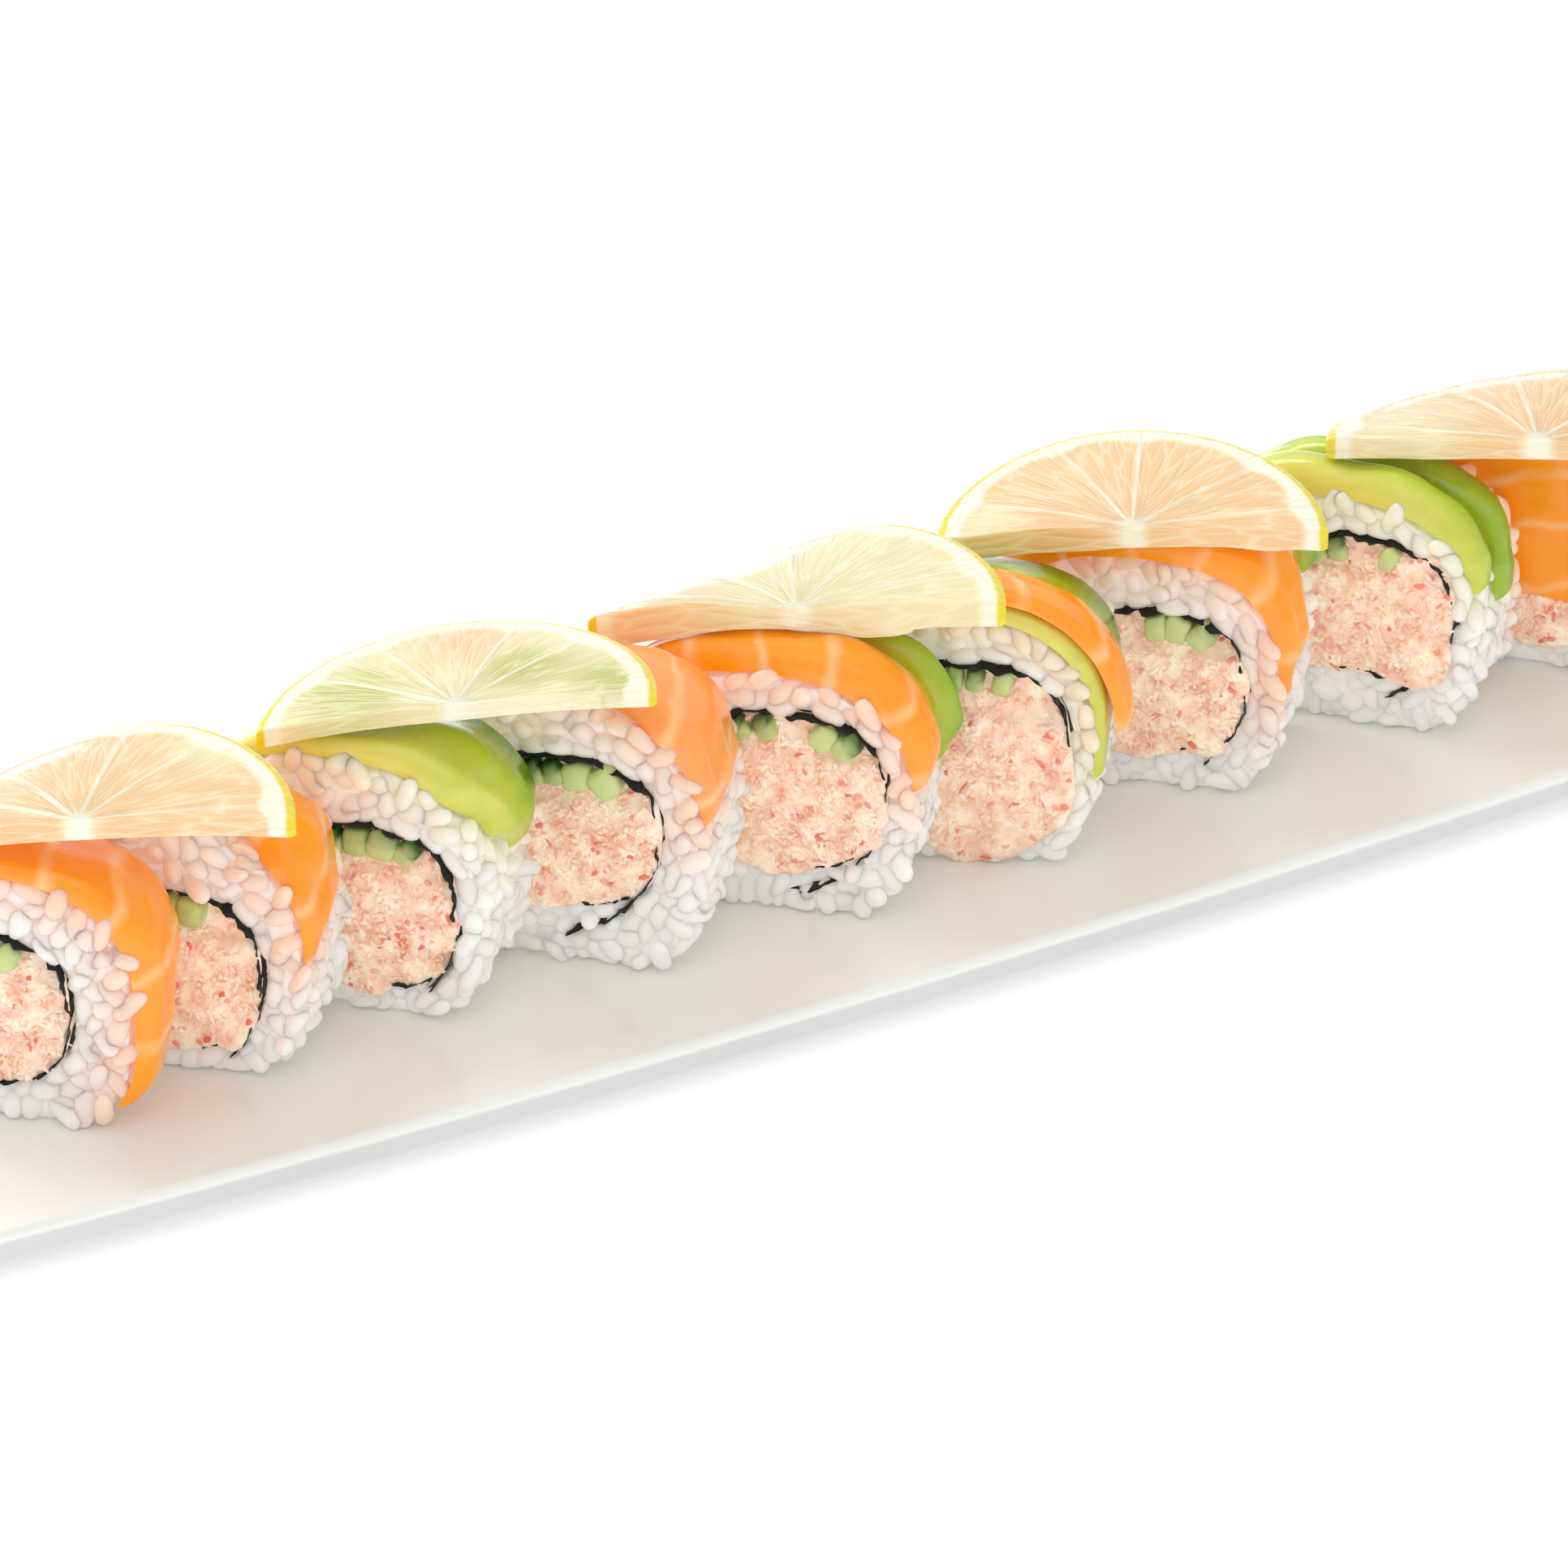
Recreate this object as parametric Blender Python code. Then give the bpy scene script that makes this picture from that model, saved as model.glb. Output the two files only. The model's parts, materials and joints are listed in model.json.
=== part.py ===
"""A salmon avocado roll on its long plate: nine cut slices in a row, topped and dressed with half lemon slices.

Each slice stands on its outside with its cut face towards the front left. From the inside out it is crab salad
and cucumber, a sheet of nori, rice, and salmon or avocado draped over the top. A half slice of lemon lies over
every two slices. Lengths are metres, +X runs along the plate, +Y away from the front edge and +Z up. The origin
is on the ground below the middle of the plate.
"""

import math
import random
from dataclasses import dataclass

import bmesh
import bpy
from mathutils import Matrix, Vector
from mathutils.bvhtree import BVHTree

MM = 0.001
GAP = 0.3 * MM

PLATE_LENGTH = 360 * MM
PLATE_WIDTH = 80 * MM
PLATE_BOW = 6.5 * MM
PLATE_CORNER = 7 * MM
FOOT_HEIGHT = 2.5 * MM
FOOT_INSET = 14 * MM
FOOT_WIDTH = 4 * MM
RIM_TOP = 7.6 * MM
PLATE_TOP = 6.8 * MM

SIDE_POWER = 2.5
BASE_POWER = 3.4
BASE_DROP = 1.0 * MM
GRAIN_RELIEF = 0.75 * MM
SAG = 6.0 * MM

NORI_THICKNESS = 0.5 * MM
WRAP_STEPS = 24
TAIL_RISE = 1.5 * MM
TAIL_FIRST_RISE = 0.9 * MM
CUCUMBER_FROM_DEG = 38
CUCUMBER_TO_DEG = 142
CUCUMBER_DEPTH = 3.6 * MM

LEMON_COLUMNS = 12
LEMON_ROWS = 3
LEMON_CLEAR = 0.5 * MM
LEMON_BEND = 200 * MM
LEMON_DROOP_FROM = 0.25
SEED = 7


@dataclass(frozen=True)
class Slice:
    """One cut slice: its place and turn on the plate, its rice size, and its filling's size and place."""

    x: float
    y: float
    turn_deg: float
    width: float
    height: float
    length: float
    core_width: float
    core_height: float
    core_shift: float
    core_lift: float
    tail_steps: int


@dataclass(frozen=True)
class Topping:
    """One strip over a slice. Stations are (share of the way, front share, back share, thickness)."""

    name: str
    kind: str
    slice_number: int
    from_deg: float
    to_deg: float
    lift: float
    stations: tuple


@dataclass(frozen=True)
class Lemon:
    """One half slice of lemon: the middle of its straight cut, its turn and tilts, and how its rim hangs down.

    The way it hangs is counted from the right end of the cut round to the back.
    """

    x: float
    y: float
    turn_deg: float
    radius: float
    thickness: float
    tilt_back_deg: float
    tilt_side_deg: float
    droop: float
    droop_way_deg: float


def millimetres(*values):
    """The values, given in millimetres, in metres."""
    return [value * MM for value in values]


def make_slice(x, y, turn_deg, width, height, length, core, tail_steps):
    """A Slice from millimetres and degrees. core is (width, height, shift across, lift above the middle)."""
    x, y, width, height, length = millimetres(x, y, width, height, length)
    return Slice(x, y, turn_deg, width, height, length, *millimetres(*core), tail_steps)


SLICES = {
    1: make_slice(-124.4, 0.4, 46.5, 43.0, 37.0, 17.2, (25.0, 22.4, 0.0, -1.7), 0),
    2: make_slice(-96.3, 0.8, 44.5, 41.0, 36.5, 19.5, (25.0, 24.0, 2.0, -2.8), 1),
    3: make_slice(-66.8, 2.7, 40.5, 42.0, 38.6, 20.3, (28.0, 25.0, 3.8, -2.9), 1),
    4: make_slice(-34.7, -0.8, 43.5, 42.5, 40.0, 20.6, (27.5, 22.5, 1.6, 0.6), 3),
    5: make_slice(-3.2, -3.5, 45.5, 43.0, 37.0, 18.8, (28.6, 23.8, 3.8, 0.9), 3),
    6: make_slice(27.7, -2.6, 49.5, 42.0, 38.5, 22.0, (27.6, 28.6, 4.0, -2.4), 0),
    7: make_slice(64.0, 1.7, 44.5, 41.5, 37.0, 23.0, (26.5, 22.5, 3.0, -1.4), 1),
    8: make_slice(99.9, 2.6, 37.5, 44.0, 36.0, 21.4, (28.4, 21.8, 4.9, 1.3), 2),
    9: make_slice(135.4, 2.0, 41.5, 41.0, 37.0, 22.5, (27.0, 24.0, 2.0, -1.5), 1),
}

FULL = (0.0, 1.0)
TOPPINGS = (
    Topping("salmon_1", "salmon", 1, 166, -40, 0.0,
            ((0.0, *FULL, 2.0), (0.4, *FULL, 3.2), (0.72, 0.0, 0.96, 4.4), (0.88, 0.0, 0.62, 3.2),
             (1.0, 0.0, 0.2, 1.2))),
    Topping("salmon_2", "salmon", 2, 122, 0, 0.0,
            ((0.0, 0.5, 1.0, 2.0), (0.4, 0.3, 1.0, 3.8), (0.66, 0.05, 1.0, 4.0), (0.86, 0.0, 0.76, 2.8),
             (1.0, 0.02, 0.24, 1.0))),
    Topping("avocado_3", "avocado", 3, 152, 6, 0.0,
            ((0.0, *FULL, 2.4), (0.35, *FULL, 3.4), (0.72, 0.0, 1.0, 5.4), (0.88, 0.24, 1.0, 4.6),
             (1.0, 0.56, 0.84, 1.8))),
    Topping("salmon_4", "salmon", 4, 112, 6, 0.0,
            ((0.0, 0.42, 1.0, 3.4), (0.35, 0.14, 1.0, 5.2), (0.6, 0.0, 1.0, 5.2), (0.85, 0.0, 0.82, 3.6),
             (1.0, 0.04, 0.28, 1.4))),
    Topping("salmon_5", "salmon", 5, 166, 4, 0.0,
            ((0.0, 0.0, 0.95, 4.6), (0.4, 0.0, 0.76, 5.2), (0.7, 0.0, 0.66, 5.4), (0.9, 0.0, 0.6, 4.2),
             (1.0, 0.04, 0.34, 2.0))),
    Topping("avocado_5", "avocado", 5, 96, 0, 0.0,
            ((0.0, 0.77, 1.0, 2.6), (0.5, 0.71, 1.0, 5.0), (0.85, 0.7, 1.0, 4.4), (1.0, 0.76, 0.98, 1.4))),
    Topping("avocado_6", "avocado", 6, 160, -6, 0.0,
            ((0.0, *FULL, 3.6), (0.35, *FULL, 2.8), (0.68, *FULL, 2.8), (0.86, 0.0, 0.98, 2.6),
             (1.0, 0.02, 0.22, 1.4))),
    Topping("salmon_6", "salmon", 6, 104, 4, 3.1,
            ((0.0, 0.0, 0.44, 1.6), (0.3, 0.0, 0.46, 2.4), (0.75, 0.0, 0.44, 2.4), (1.0, 0.02, 0.42, 2.0))),
    Topping("salmon_7", "salmon", 7, 172, -2, 0.0,
            ((0.0, -0.1, 0.95, 4.4), (0.4, -0.1, 0.86, 4.8), (0.72, -0.03, 0.84, 5.2), (0.9, 0.0, 0.5, 3.8),
             (1.0, 0.02, 0.2, 1.6))),
    Topping("avocado_7", "avocado", 7, 84, 20, 0.0,
            ((0.0, 0.91, 1.0, 2.4), (0.5, 0.88, 1.0, 4.6), (0.85, 0.88, 1.0, 4.0), (1.0, 0.9, 1.0, 1.6))),
    Topping("avocado_8_front", "avocado", 8, 160, 14, 0.0,
            ((0.0, 0.0, 0.6, 3.0), (0.35, 0.0, 0.52, 4.8), (0.7, 0.0, 0.42, 4.8), (0.9, 0.0, 0.34, 3.4),
             (1.0, 0.03, 0.26, 2.0))),
    Topping("avocado_8_back", "avocado", 8, 140, 2, 0.0,
            ((0.0, 0.64, 1.0, 3.0), (0.3, 0.55, 1.0, 4.4), (0.7, 0.46, 0.86, 3.8), (0.9, 0.38, 0.7, 3.0),
             (1.0, 0.38, 0.62, 2.2))),
)
FLAP_ACROSS_DEG = (152, 128, 104, 80, 58)
FLAP_LENGTH = 25 * MM
FLAP_THICKNESS = 2.6 * MM
FLAP_CLEAR = 1.2 * MM


def make_lemon(x, y, turn_deg, radius, thickness, tilt_back_deg, tilt_side_deg, droop, droop_way_deg):
    """A Lemon from millimetres and degrees."""
    x, y, radius, thickness, droop = millimetres(x, y, radius, thickness, droop)
    return Lemon(x, y, turn_deg, radius, thickness, tilt_back_deg, tilt_side_deg, droop, droop_way_deg)


LEMONS = {
    1: make_lemon(-120.0, -17.6, -31, 29.0, 3.2, 0.0, 10.5, 6.5, 135),
    2: make_lemon(-61.0, -14.6, -31, 27.6, 2.8, -1.0, 13.0, 0.5, 150),
    3: make_lemon(-3.4, -9.0, -32, 29.5, 3.2, -1.0, 1.0, 9.0, 135),
    4: make_lemon(52.0, -10.3, -30.5, 28.2, 3.2, 6.5, 0.5, 2.0, 150),
    5: make_lemon(117.5, -18.0, -31.0, 31.0, 3.4, -3.0, -0.5, 6.0, 115),
}


def make_material(name, colour, roughness):
    """A Principled material of one colour."""
    material = bpy.data.materials.new(name)
    material.use_nodes = True
    shader = material.node_tree.nodes["Principled BSDF"]
    shader.inputs["Base Color"].default_value = (*colour, 1.0)
    shader.inputs["Roughness"].default_value = roughness
    return material


def make_materials():
    """Every material of the dish, by the name of what it covers."""
    looks = {
        "porcelain": ((0.86, 0.86, 0.84), 0.12),
        "rice": ((0.88, 0.86, 0.80), 0.35),
        "nori": ((0.012, 0.016, 0.012), 0.45),
        "crab_salad": ((0.90, 0.66, 0.54), 0.55),
        "cucumber": ((0.42, 0.58, 0.20), 0.35),
        "salmon": ((0.95, 0.38, 0.10), 0.25),
        "avocado": ((0.52, 0.66, 0.10), 0.30),
        "lemon": ((0.93, 0.86, 0.42), 0.25),
    }
    return {name: make_material(name, *look) for name, look in looks.items()}


def add_object(name, mesh_builder, material, parent=None):
    """Links a new object whose mesh is filled by mesh_builder(bmesh), with its faces pointing out."""
    mesh = bpy.data.meshes.new(name)
    body = bmesh.new()
    mesh_builder(body)
    bmesh.ops.recalc_face_normals(body, faces=body.faces)
    body.to_mesh(mesh)
    body.free()
    mesh.materials.append(material)
    made = bpy.data.objects.new(name, mesh)
    bpy.context.collection.objects.link(made)
    made.parent = parent
    return made


def bridge(body, first, second, closed=True):
    """Joins two rows of vertices of equal length with quads."""
    count = len(first)
    for i in range(count if closed else count - 1):
        j = (i + 1) % count
        body.faces.new((first[i], first[j], second[j], second[i]))


def loft(body, rings):
    """A closed body through rings of points, with a fan to the middle of the first and the last ring."""
    rows = [[body.verts.new(point) for point in ring] for ring in rings]
    for first, second in zip(rows, rows[1:]):
        bridge(body, first, second)
    for row in (rows[0], rows[-1]):
        centre = body.verts.new(sum((vertex.co for vertex in row), Vector()) / len(row))
        for i, vertex in enumerate(row):
            body.faces.new((vertex, row[(i + 1) % len(row)], centre))


def slab(body, under, over):
    """A closed body between two grids of points, given as equal lists of rows."""
    lower = [[body.verts.new(point) for point in row] for row in under]
    upper = [[body.verts.new(point) for point in row] for row in over]
    for grid in (lower, upper):
        for first, second in zip(grid, grid[1:]):
            bridge(body, first, second, closed=False)
    bridge(body, lower[0], upper[0], closed=False)
    bridge(body, lower[-1], upper[-1], closed=False)
    for end in (0, -1):
        bridge(body, [row[end] for row in lower], [row[end] for row in upper], closed=False)


def plate_quarter(inset):
    """A quarter of the plate's edge, from the corner at the end round to the middle of the long side."""
    radius = max(PLATE_CORNER - inset, 2 * MM)
    side_x = PLATE_LENGTH / 2 - inset - radius

    def side_y(x):
        return PLATE_WIDTH / 2 - inset - PLATE_BOW * (2 * x / PLATE_LENGTH) ** 2

    centre = Vector((side_x, side_y(side_x) - radius))
    turns = [math.radians(angle) for angle in (0, 30, 60, 90)]
    corner = [centre + Vector((math.cos(turn), math.sin(turn))) * radius for turn in turns]
    side = [Vector((side_x * share, side_y(side_x * share))) for share in (0.75, 0.5, 0.25, 0.0)]
    return corner + side


def plate_outline(inset, height):
    """Points round the plate at an inset from its bowed edge."""
    quarter = plate_quarter(inset)
    back = quarter + [Vector((-point.x, point.y)) for point in reversed(quarter[:-1])]
    front = [Vector((-point.x, -point.y)) for point in back]
    return [Vector((point.x, point.y, height)) for point in back + front]


def build_plate(materials):
    """The long porcelain plate: a flat well, a slightly raised rim and a low foot set in under it."""
    section = (
        (FOOT_INSET + FOOT_WIDTH, FOOT_HEIGHT),
        (FOOT_INSET + FOOT_WIDTH - 0.6 * MM, 0.0),
        (FOOT_INSET + 0.6 * MM, 0.0),
        (FOOT_INSET, FOOT_HEIGHT),
        (0.8 * MM, FOOT_HEIGHT),
        (0.0, FOOT_HEIGHT + 0.8 * MM),
        (0.0, RIM_TOP - 0.9 * MM),
        (0.7 * MM, RIM_TOP),
        (1.8 * MM, RIM_TOP - 0.05 * MM),
        (8.0 * MM, PLATE_TOP),
    )
    return add_object(
        "plate",
        lambda body: loft(body, [plate_outline(inset, height) for inset, height in section]),
        materials["porcelain"],
    )


def rounded(value, power):
    """A cosine or sine raised to the superellipse's power, keeping its sign."""
    return math.copysign(abs(value) ** (2 / power), value)


def outline_point(piece, angle_deg, scale=1.0, share=0.0):
    """A point (across, up) of the slice's rice outline: a dome on straight sides and a flat base.

    The share runs from the front face to the back one, where the top has sagged on its left.
    """
    turn = math.radians(angle_deg)
    cosine, sine = math.cos(turn), math.sin(turn)
    power = SIDE_POWER if sine >= 0 else BASE_POWER
    middle = piece.height / 2
    drop = middle + (BASE_DROP if sine < 0 else 0.0)
    across = piece.width / 2 * scale * rounded(cosine, power)
    up = middle + drop * scale * rounded(sine, power)
    sag = SAG * share * max(0.0, sine) * (1 - cosine) / 2
    floor = middle * (1 - scale)
    return Vector((across, max(up, floor) - sag * scale))


def outline_normal(piece, angle_deg):
    """The direction straight out of the outline at an angle."""
    step = 1.5
    ahead = outline_point(piece, angle_deg + step)
    behind = outline_point(piece, angle_deg - step)
    along = (ahead - behind).normalized()
    return Vector((along.y, -along.x))


def rice_angles():
    """Angles round the rice: close together at the bare sides, wider over the top and under the base."""
    spans = ((-44, 34, 7), (34, 146, 10), (146, 224, 7), (224, 316, 5))
    return [start + (end - start) * i / count for start, end, count in spans for i in range(count)]


def relief(i, j, draw):
    """How deep the rice is dented at a vertex: every other one stays proud, as grains do."""
    if (i + j) % 2 == 0:
        return draw.uniform(0.0, 0.25) * GRAIN_RELIEF
    return draw.uniform(0.6, 1.3) * GRAIN_RELIEF


def rice_body(piece, draw):
    """A function that fills a bmesh with one slice's rice, as a whole loaf with grain-sized bumps."""
    angles = rice_angles()
    rows = round(piece.length / (4.8 * MM))
    half = piece.length / 2

    def ring(position, scale, number, dent_along):
        points = []
        for i, angle in enumerate(angles):
            depth = relief(i, number, draw)
            across, up = outline_point(piece, angle, scale, position / piece.length + 0.5)
            if dent_along:
                position_here = position - math.copysign(depth, position)
            else:
                inward = outline_normal(piece, angle) * (0.0 if 224 <= angle <= 316 else depth)
                across, up = across - inward.x, up - inward.y
                position_here = position
            points.append(Vector((across, position_here, max(up, 0.0))))
        return points

    rings = [ring(-half, 0.62, 0, True), ring(-half, 0.82, 1, True)]
    for row in range(rows + 1):
        rings.append(ring(-half + piece.length * row / rows, 1.0, row, False))
    rings += [ring(half, 0.82, 1, True), ring(half, 0.62, 0, True)]
    return lambda body: loft(body, rings)


def core_radius(piece, angle_deg):
    """The nori's middle line, from the middle of the filling: a rounded square."""
    turn = math.radians(angle_deg)
    power = 2.7
    wide = abs(math.cos(turn)) / (piece.core_width / 2)
    tall = abs(math.sin(turn)) / (piece.core_height / 2)
    return (wide**power + tall**power) ** (-1 / power)


def core_point(piece, angle_deg, radius, position):
    """A point at a radius round the middle of the filling."""
    turn = math.radians(angle_deg)
    middle = Vector((piece.core_shift, piece.height / 2 + piece.core_lift))
    across, up = middle + Vector((math.cos(turn), math.sin(turn))) * radius
    return Vector((across, position, up))


def wrap_angle(step):
    """The angle of a step of the nori, which starts low on the right and winds clockwise."""
    start_deg = -45
    return start_deg - 360 * step / WRAP_STEPS


def tail_rise(step):
    """How far the nori has left its own ring once it passes its start."""
    past = step - WRAP_STEPS
    return 0.0 if past < 0 else TAIL_FIRST_RISE + TAIL_RISE * past


def nori_body(piece):
    """A function that fills a bmesh with one slice's nori: a band wound once round, then leaving as a tail."""
    half = piece.length / 2
    last = WRAP_STEPS + piece.tail_steps if piece.tail_steps else WRAP_STEPS - 1

    def wall(side):
        rows = []
        for step in range(last + 1):
            angle = wrap_angle(step)
            radius = core_radius(piece, angle) + tail_rise(step) + side * NORI_THICKNESS / 2
            rows.append([core_point(piece, angle, radius, position) for position in (-half, half)])
        return rows

    def fill(body):
        if piece.tail_steps:
            slab(body, wall(-1), wall(1))
            return
        inner = [[body.verts.new(point) for point in row] for row in wall(-1)]
        outer = [[body.verts.new(point) for point in row] for row in wall(1)]
        for rows in (inner, outer):
            bridge(body, [row[0] for row in rows], [row[1] for row in rows])
        for end in (0, 1):
            bridge(body, [row[end] for row in inner], [row[end] for row in outer])

    return fill


def hole_cutter(piece):
    """A function that fills a bmesh with the room the nori and what it holds take out of the rice."""
    reach = piece.length / 2 + 2 * MM
    clear = NORI_THICKNESS / 2 + GAP

    def ring(position):
        angles = [wrap_angle(step) for step in range(WRAP_STEPS)]
        return [core_point(piece, angle, core_radius(piece, angle) + clear, position) for angle in angles]

    return lambda body: loft(body, [ring(-reach), ring(reach)])


def tail_cutter(piece):
    """A function that fills a bmesh with the slot for the nori's tail."""
    reach = piece.length / 2 + 2 * MM
    clear = NORI_THICKNESS / 2 + GAP
    steps = [WRAP_STEPS - 1, *range(WRAP_STEPS, WRAP_STEPS + piece.tail_steps), WRAP_STEPS + piece.tail_steps + 0.15]

    def wall(side):
        rows = []
        for step in steps:
            angle = wrap_angle(step)
            radius = core_radius(piece, angle) + tail_rise(step) + side * clear
            rows.append([core_point(piece, angle, radius, position) for position in (-reach, reach)])
        return rows

    return lambda body: slab(body, wall(-1), wall(1))


def inner_radius(piece, angle_deg):
    """The inside of the nori, less the gap to what it holds."""
    return core_radius(piece, angle_deg) - NORI_THICKNESS / 2 - GAP


def cucumber_radius(piece, step):
    """The underside of the cucumber sticks, notched where one stick meets the next."""
    notch = 1.3 * MM if step % 2 else 0.0
    return inner_radius(piece, wrap_angle(step)) - CUCUMBER_DEPTH + notch


def cucumber_steps():
    """The steps of the wrap that lie between the cucumber's two ends."""
    found = []
    for step in range(WRAP_STEPS):
        angle = wrap_angle(step) % 360
        if CUCUMBER_FROM_DEG <= angle <= CUCUMBER_TO_DEG:
            found.append(step)
    return found


def cucumber_body(piece):
    """A function that fills a bmesh with the cucumber sticks under the top of the nori."""
    half = piece.length / 2

    def row(radius_of, step):
        angle = wrap_angle(step)
        return [core_point(piece, angle, radius_of(step), position) for position in (-half, half)]

    def outer_radius(step):
        return inner_radius(piece, wrap_angle(step))

    steps = cucumber_steps()
    under = [row(lambda step: cucumber_radius(piece, step), step) for step in steps]
    over = [row(outer_radius, step) for step in steps]
    return lambda body: slab(body, under, over)


def crab_body(piece, draw):
    """A function that fills a bmesh with the crab salad, whose cut ends are craggy."""
    half = piece.length / 2
    covered = cucumber_steps()
    edge = [covered[0] - 1, *covered, covered[-1] + 1]

    def radius_at(step):
        radius = inner_radius(piece, wrap_angle(step))
        if step in edge:
            radius = min(radius, cucumber_radius(piece, step) - GAP)
        return radius

    def ring(position, scale, crag):
        points = []
        for step in range(WRAP_STEPS):
            here = position + crag * draw.uniform(-1.0, 1.0)
            points.append(core_point(piece, wrap_angle(step), radius_at(step) * scale, here))
        return points

    crag = 0.4 * MM
    rings = [
        ring(-half - 0.3 * MM, 0.55, crag),
        ring(-half + 0.1 * MM, 1.0, 0.4 * crag),
        ring(half - 0.3 * MM, 1.0, 0.4 * crag),
        ring(half - 0.5 * MM, 0.55, crag),
    ]
    return lambda body: loft(body, rings)


def cut(target, cutter):
    """Takes the cutter out of the target and removes it."""
    modifier = target.modifiers.new("cut", "BOOLEAN")
    modifier.operation = "DIFFERENCE"
    modifier.object = cutter
    bpy.context.view_layer.update()
    evaluated = target.evaluated_get(bpy.context.evaluated_depsgraph_get())
    result = bpy.data.meshes.new_from_object(evaluated)
    target.modifiers.clear()
    target.data = result
    bpy.data.objects.remove(cutter)


def build_slice(number, piece, materials, draw):
    """One slice's rice, nori, cucumber and crab salad, held by an empty at its place on the plate."""
    holder = bpy.data.objects.new(f"slice_{number}", None)
    bpy.context.collection.objects.link(holder)
    holder.location = (piece.x, piece.y, PLATE_TOP + GAP)
    holder.rotation_euler = (0, 0, math.radians(piece.turn_deg - 90))
    rice = add_object(f"rice_{number}", rice_body(piece, draw), materials["rice"], holder)
    cut(rice, add_object("hole", hole_cutter(piece), materials["rice"], holder))
    if piece.tail_steps:
        cut(rice, add_object("tail_slot", tail_cutter(piece), materials["rice"], holder))
    add_object(f"nori_{number}", nori_body(piece), materials["nori"], holder)
    add_object(f"cucumber_{number}", cucumber_body(piece), materials["cucumber"], holder)
    add_object(f"crab_salad_{number}", crab_body(piece, draw), materials["crab_salad"], holder)
    return holder


def between(stations, share):
    """The front, back and thickness of a topping at a share of its way, read between its stations."""
    for first, second in zip(stations, stations[1:]):
        if share <= second[0]:
            part = (share - first[0]) / (second[0] - first[0])
            part = part * part * (3 - 2 * part)
            return [a + (b - a) * part for a, b in zip(first[1:], second[1:])]
    return list(stations[-1][1:])


def topping_body(topping, piece):
    """A function that fills a bmesh with one draped strip, thinner along its two long edges."""
    around = max(6, round(abs(topping.from_deg - topping.to_deg) / 14))
    crown = (0.85, 1.0, 0.55)

    def grids():
        under, over = [], []
        for i in range(around + 1):
            share = i / around
            angle = topping.from_deg + (topping.to_deg - topping.from_deg) * share
            front, back, thickness = between(topping.stations, share)
            normal = outline_normal(piece, angle)
            lower_row, upper_row = [], []
            for j, height_share in enumerate(crown):
                along = front + (back - front) * j / (len(crown) - 1)
                position = (along - 0.5) * piece.length
                base = outline_point(piece, angle, 1.0, along)
                lower = base + normal * (GAP + topping.lift * MM)
                upper = lower + normal * thickness * MM * height_share
                lower_row.append(Vector((lower.x, position, lower.y)))
                upper_row.append(Vector((upper.x, position, upper.y)))
            under.append(lower_row)
            over.append(upper_row)
        return under, over

    return lambda body: slab(body, *grids())


def flap_body(piece):
    """A function that fills a bmesh with a strip that lies along the top and hangs down over the cut face."""
    half = piece.length / 2
    clear = FLAP_CLEAR
    ways = [(half, 0.0), (0.0, 0.0), (-half + 1.0 * MM, 0.0), (-half - clear, 0.0)]
    ways += [(-half - clear, FLAP_LENGTH * share) for share in (0.3, 0.65, 1.0)]

    def grids():
        under, over = [], []
        for position, fall in ways:
            lower_row, upper_row = [], []
            share = fall / FLAP_LENGTH
            for angle in FLAP_ACROSS_DEG:
                middle = FLAP_ACROSS_DEG[0] + (FLAP_ACROSS_DEG[-1] - FLAP_ACROSS_DEG[0]) * (0.45 + 0.2 * share)
                here = angle + (middle - angle) * 0.45 * share
                along = min(max(position / piece.length + 0.5, 0.0), 1.0)
                base = outline_point(piece, here, 1.0, along) + outline_normal(piece, here) * 2.5 * GAP
                edge = 0.75 if angle in (FLAP_ACROSS_DEG[0], FLAP_ACROSS_DEG[-1]) else 1.0
                thick = FLAP_THICKNESS * edge * (1.0 - 0.35 * share)
                folded = position < -half
                outward = Vector((0, -thick, 0.0 if fall else 0.6 * thick)) if folded else Vector((0, 0, thick))
                lower = Vector((base.x, position, base.y - fall))
                lower_row.append(lower)
                upper_row.append(lower + outward)
            under.append(lower_row)
            over.append(upper_row)
        return under, over

    return lambda body: slab(body, *grids())


def build_topping(topping, holders, materials):
    """One strip of salmon or avocado over its slice."""
    piece = SLICES[topping.slice_number]
    body = topping_body(topping, piece)
    return add_object(topping.name, body, materials[topping.kind], holders[topping.slice_number])


def lemon_local(lemon):
    """Places over the half disc as (along, back), column by column from tip to tip."""
    blunt = 0.9 * MM
    grid = []
    for column in range(LEMON_COLUMNS + 1):
        turn = math.pi * column / LEMON_COLUMNS
        along = -lemon.radius * math.cos(turn)
        deepest = max(lemon.radius * math.sin(turn), blunt)
        grid.append([(along, deepest * row / LEMON_ROWS) for row in range(LEMON_ROWS + 1)])
    return grid


def lemon_plan(lemon, along, back):
    """The plan position of a place on a half slice."""
    turn = Matrix.Rotation(math.radians(lemon.turn_deg), 2)
    return turn @ Vector((along, back)) + Vector((lemon.x, lemon.y))


def lemon_rise(lemon, along, back):
    """How far its tilts lift a place on a half slice, less what it hangs down there."""
    way = math.radians(lemon.droop_way_deg)
    reach = along * math.cos(way) + back * math.sin(way)
    past = max(0.0, reach / lemon.radius - LEMON_DROOP_FROM) / (1 - LEMON_DROOP_FROM)
    tilted = back * math.tan(math.radians(lemon.tilt_back_deg)) + along * math.tan(math.radians(lemon.tilt_side_deg))
    return tilted - lemon.droop * past * past


def solid_tree(objects):
    """A search tree over the world-space faces of some objects."""
    points, faces = [], []
    for made in objects:
        offset = len(points)
        points += [made.matrix_world @ vertex.co for vertex in made.data.vertices]
        faces += [[offset + i for i in polygon.vertices] for polygon in made.data.polygons]
    return BVHTree.FromPolygons(points, faces)


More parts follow.
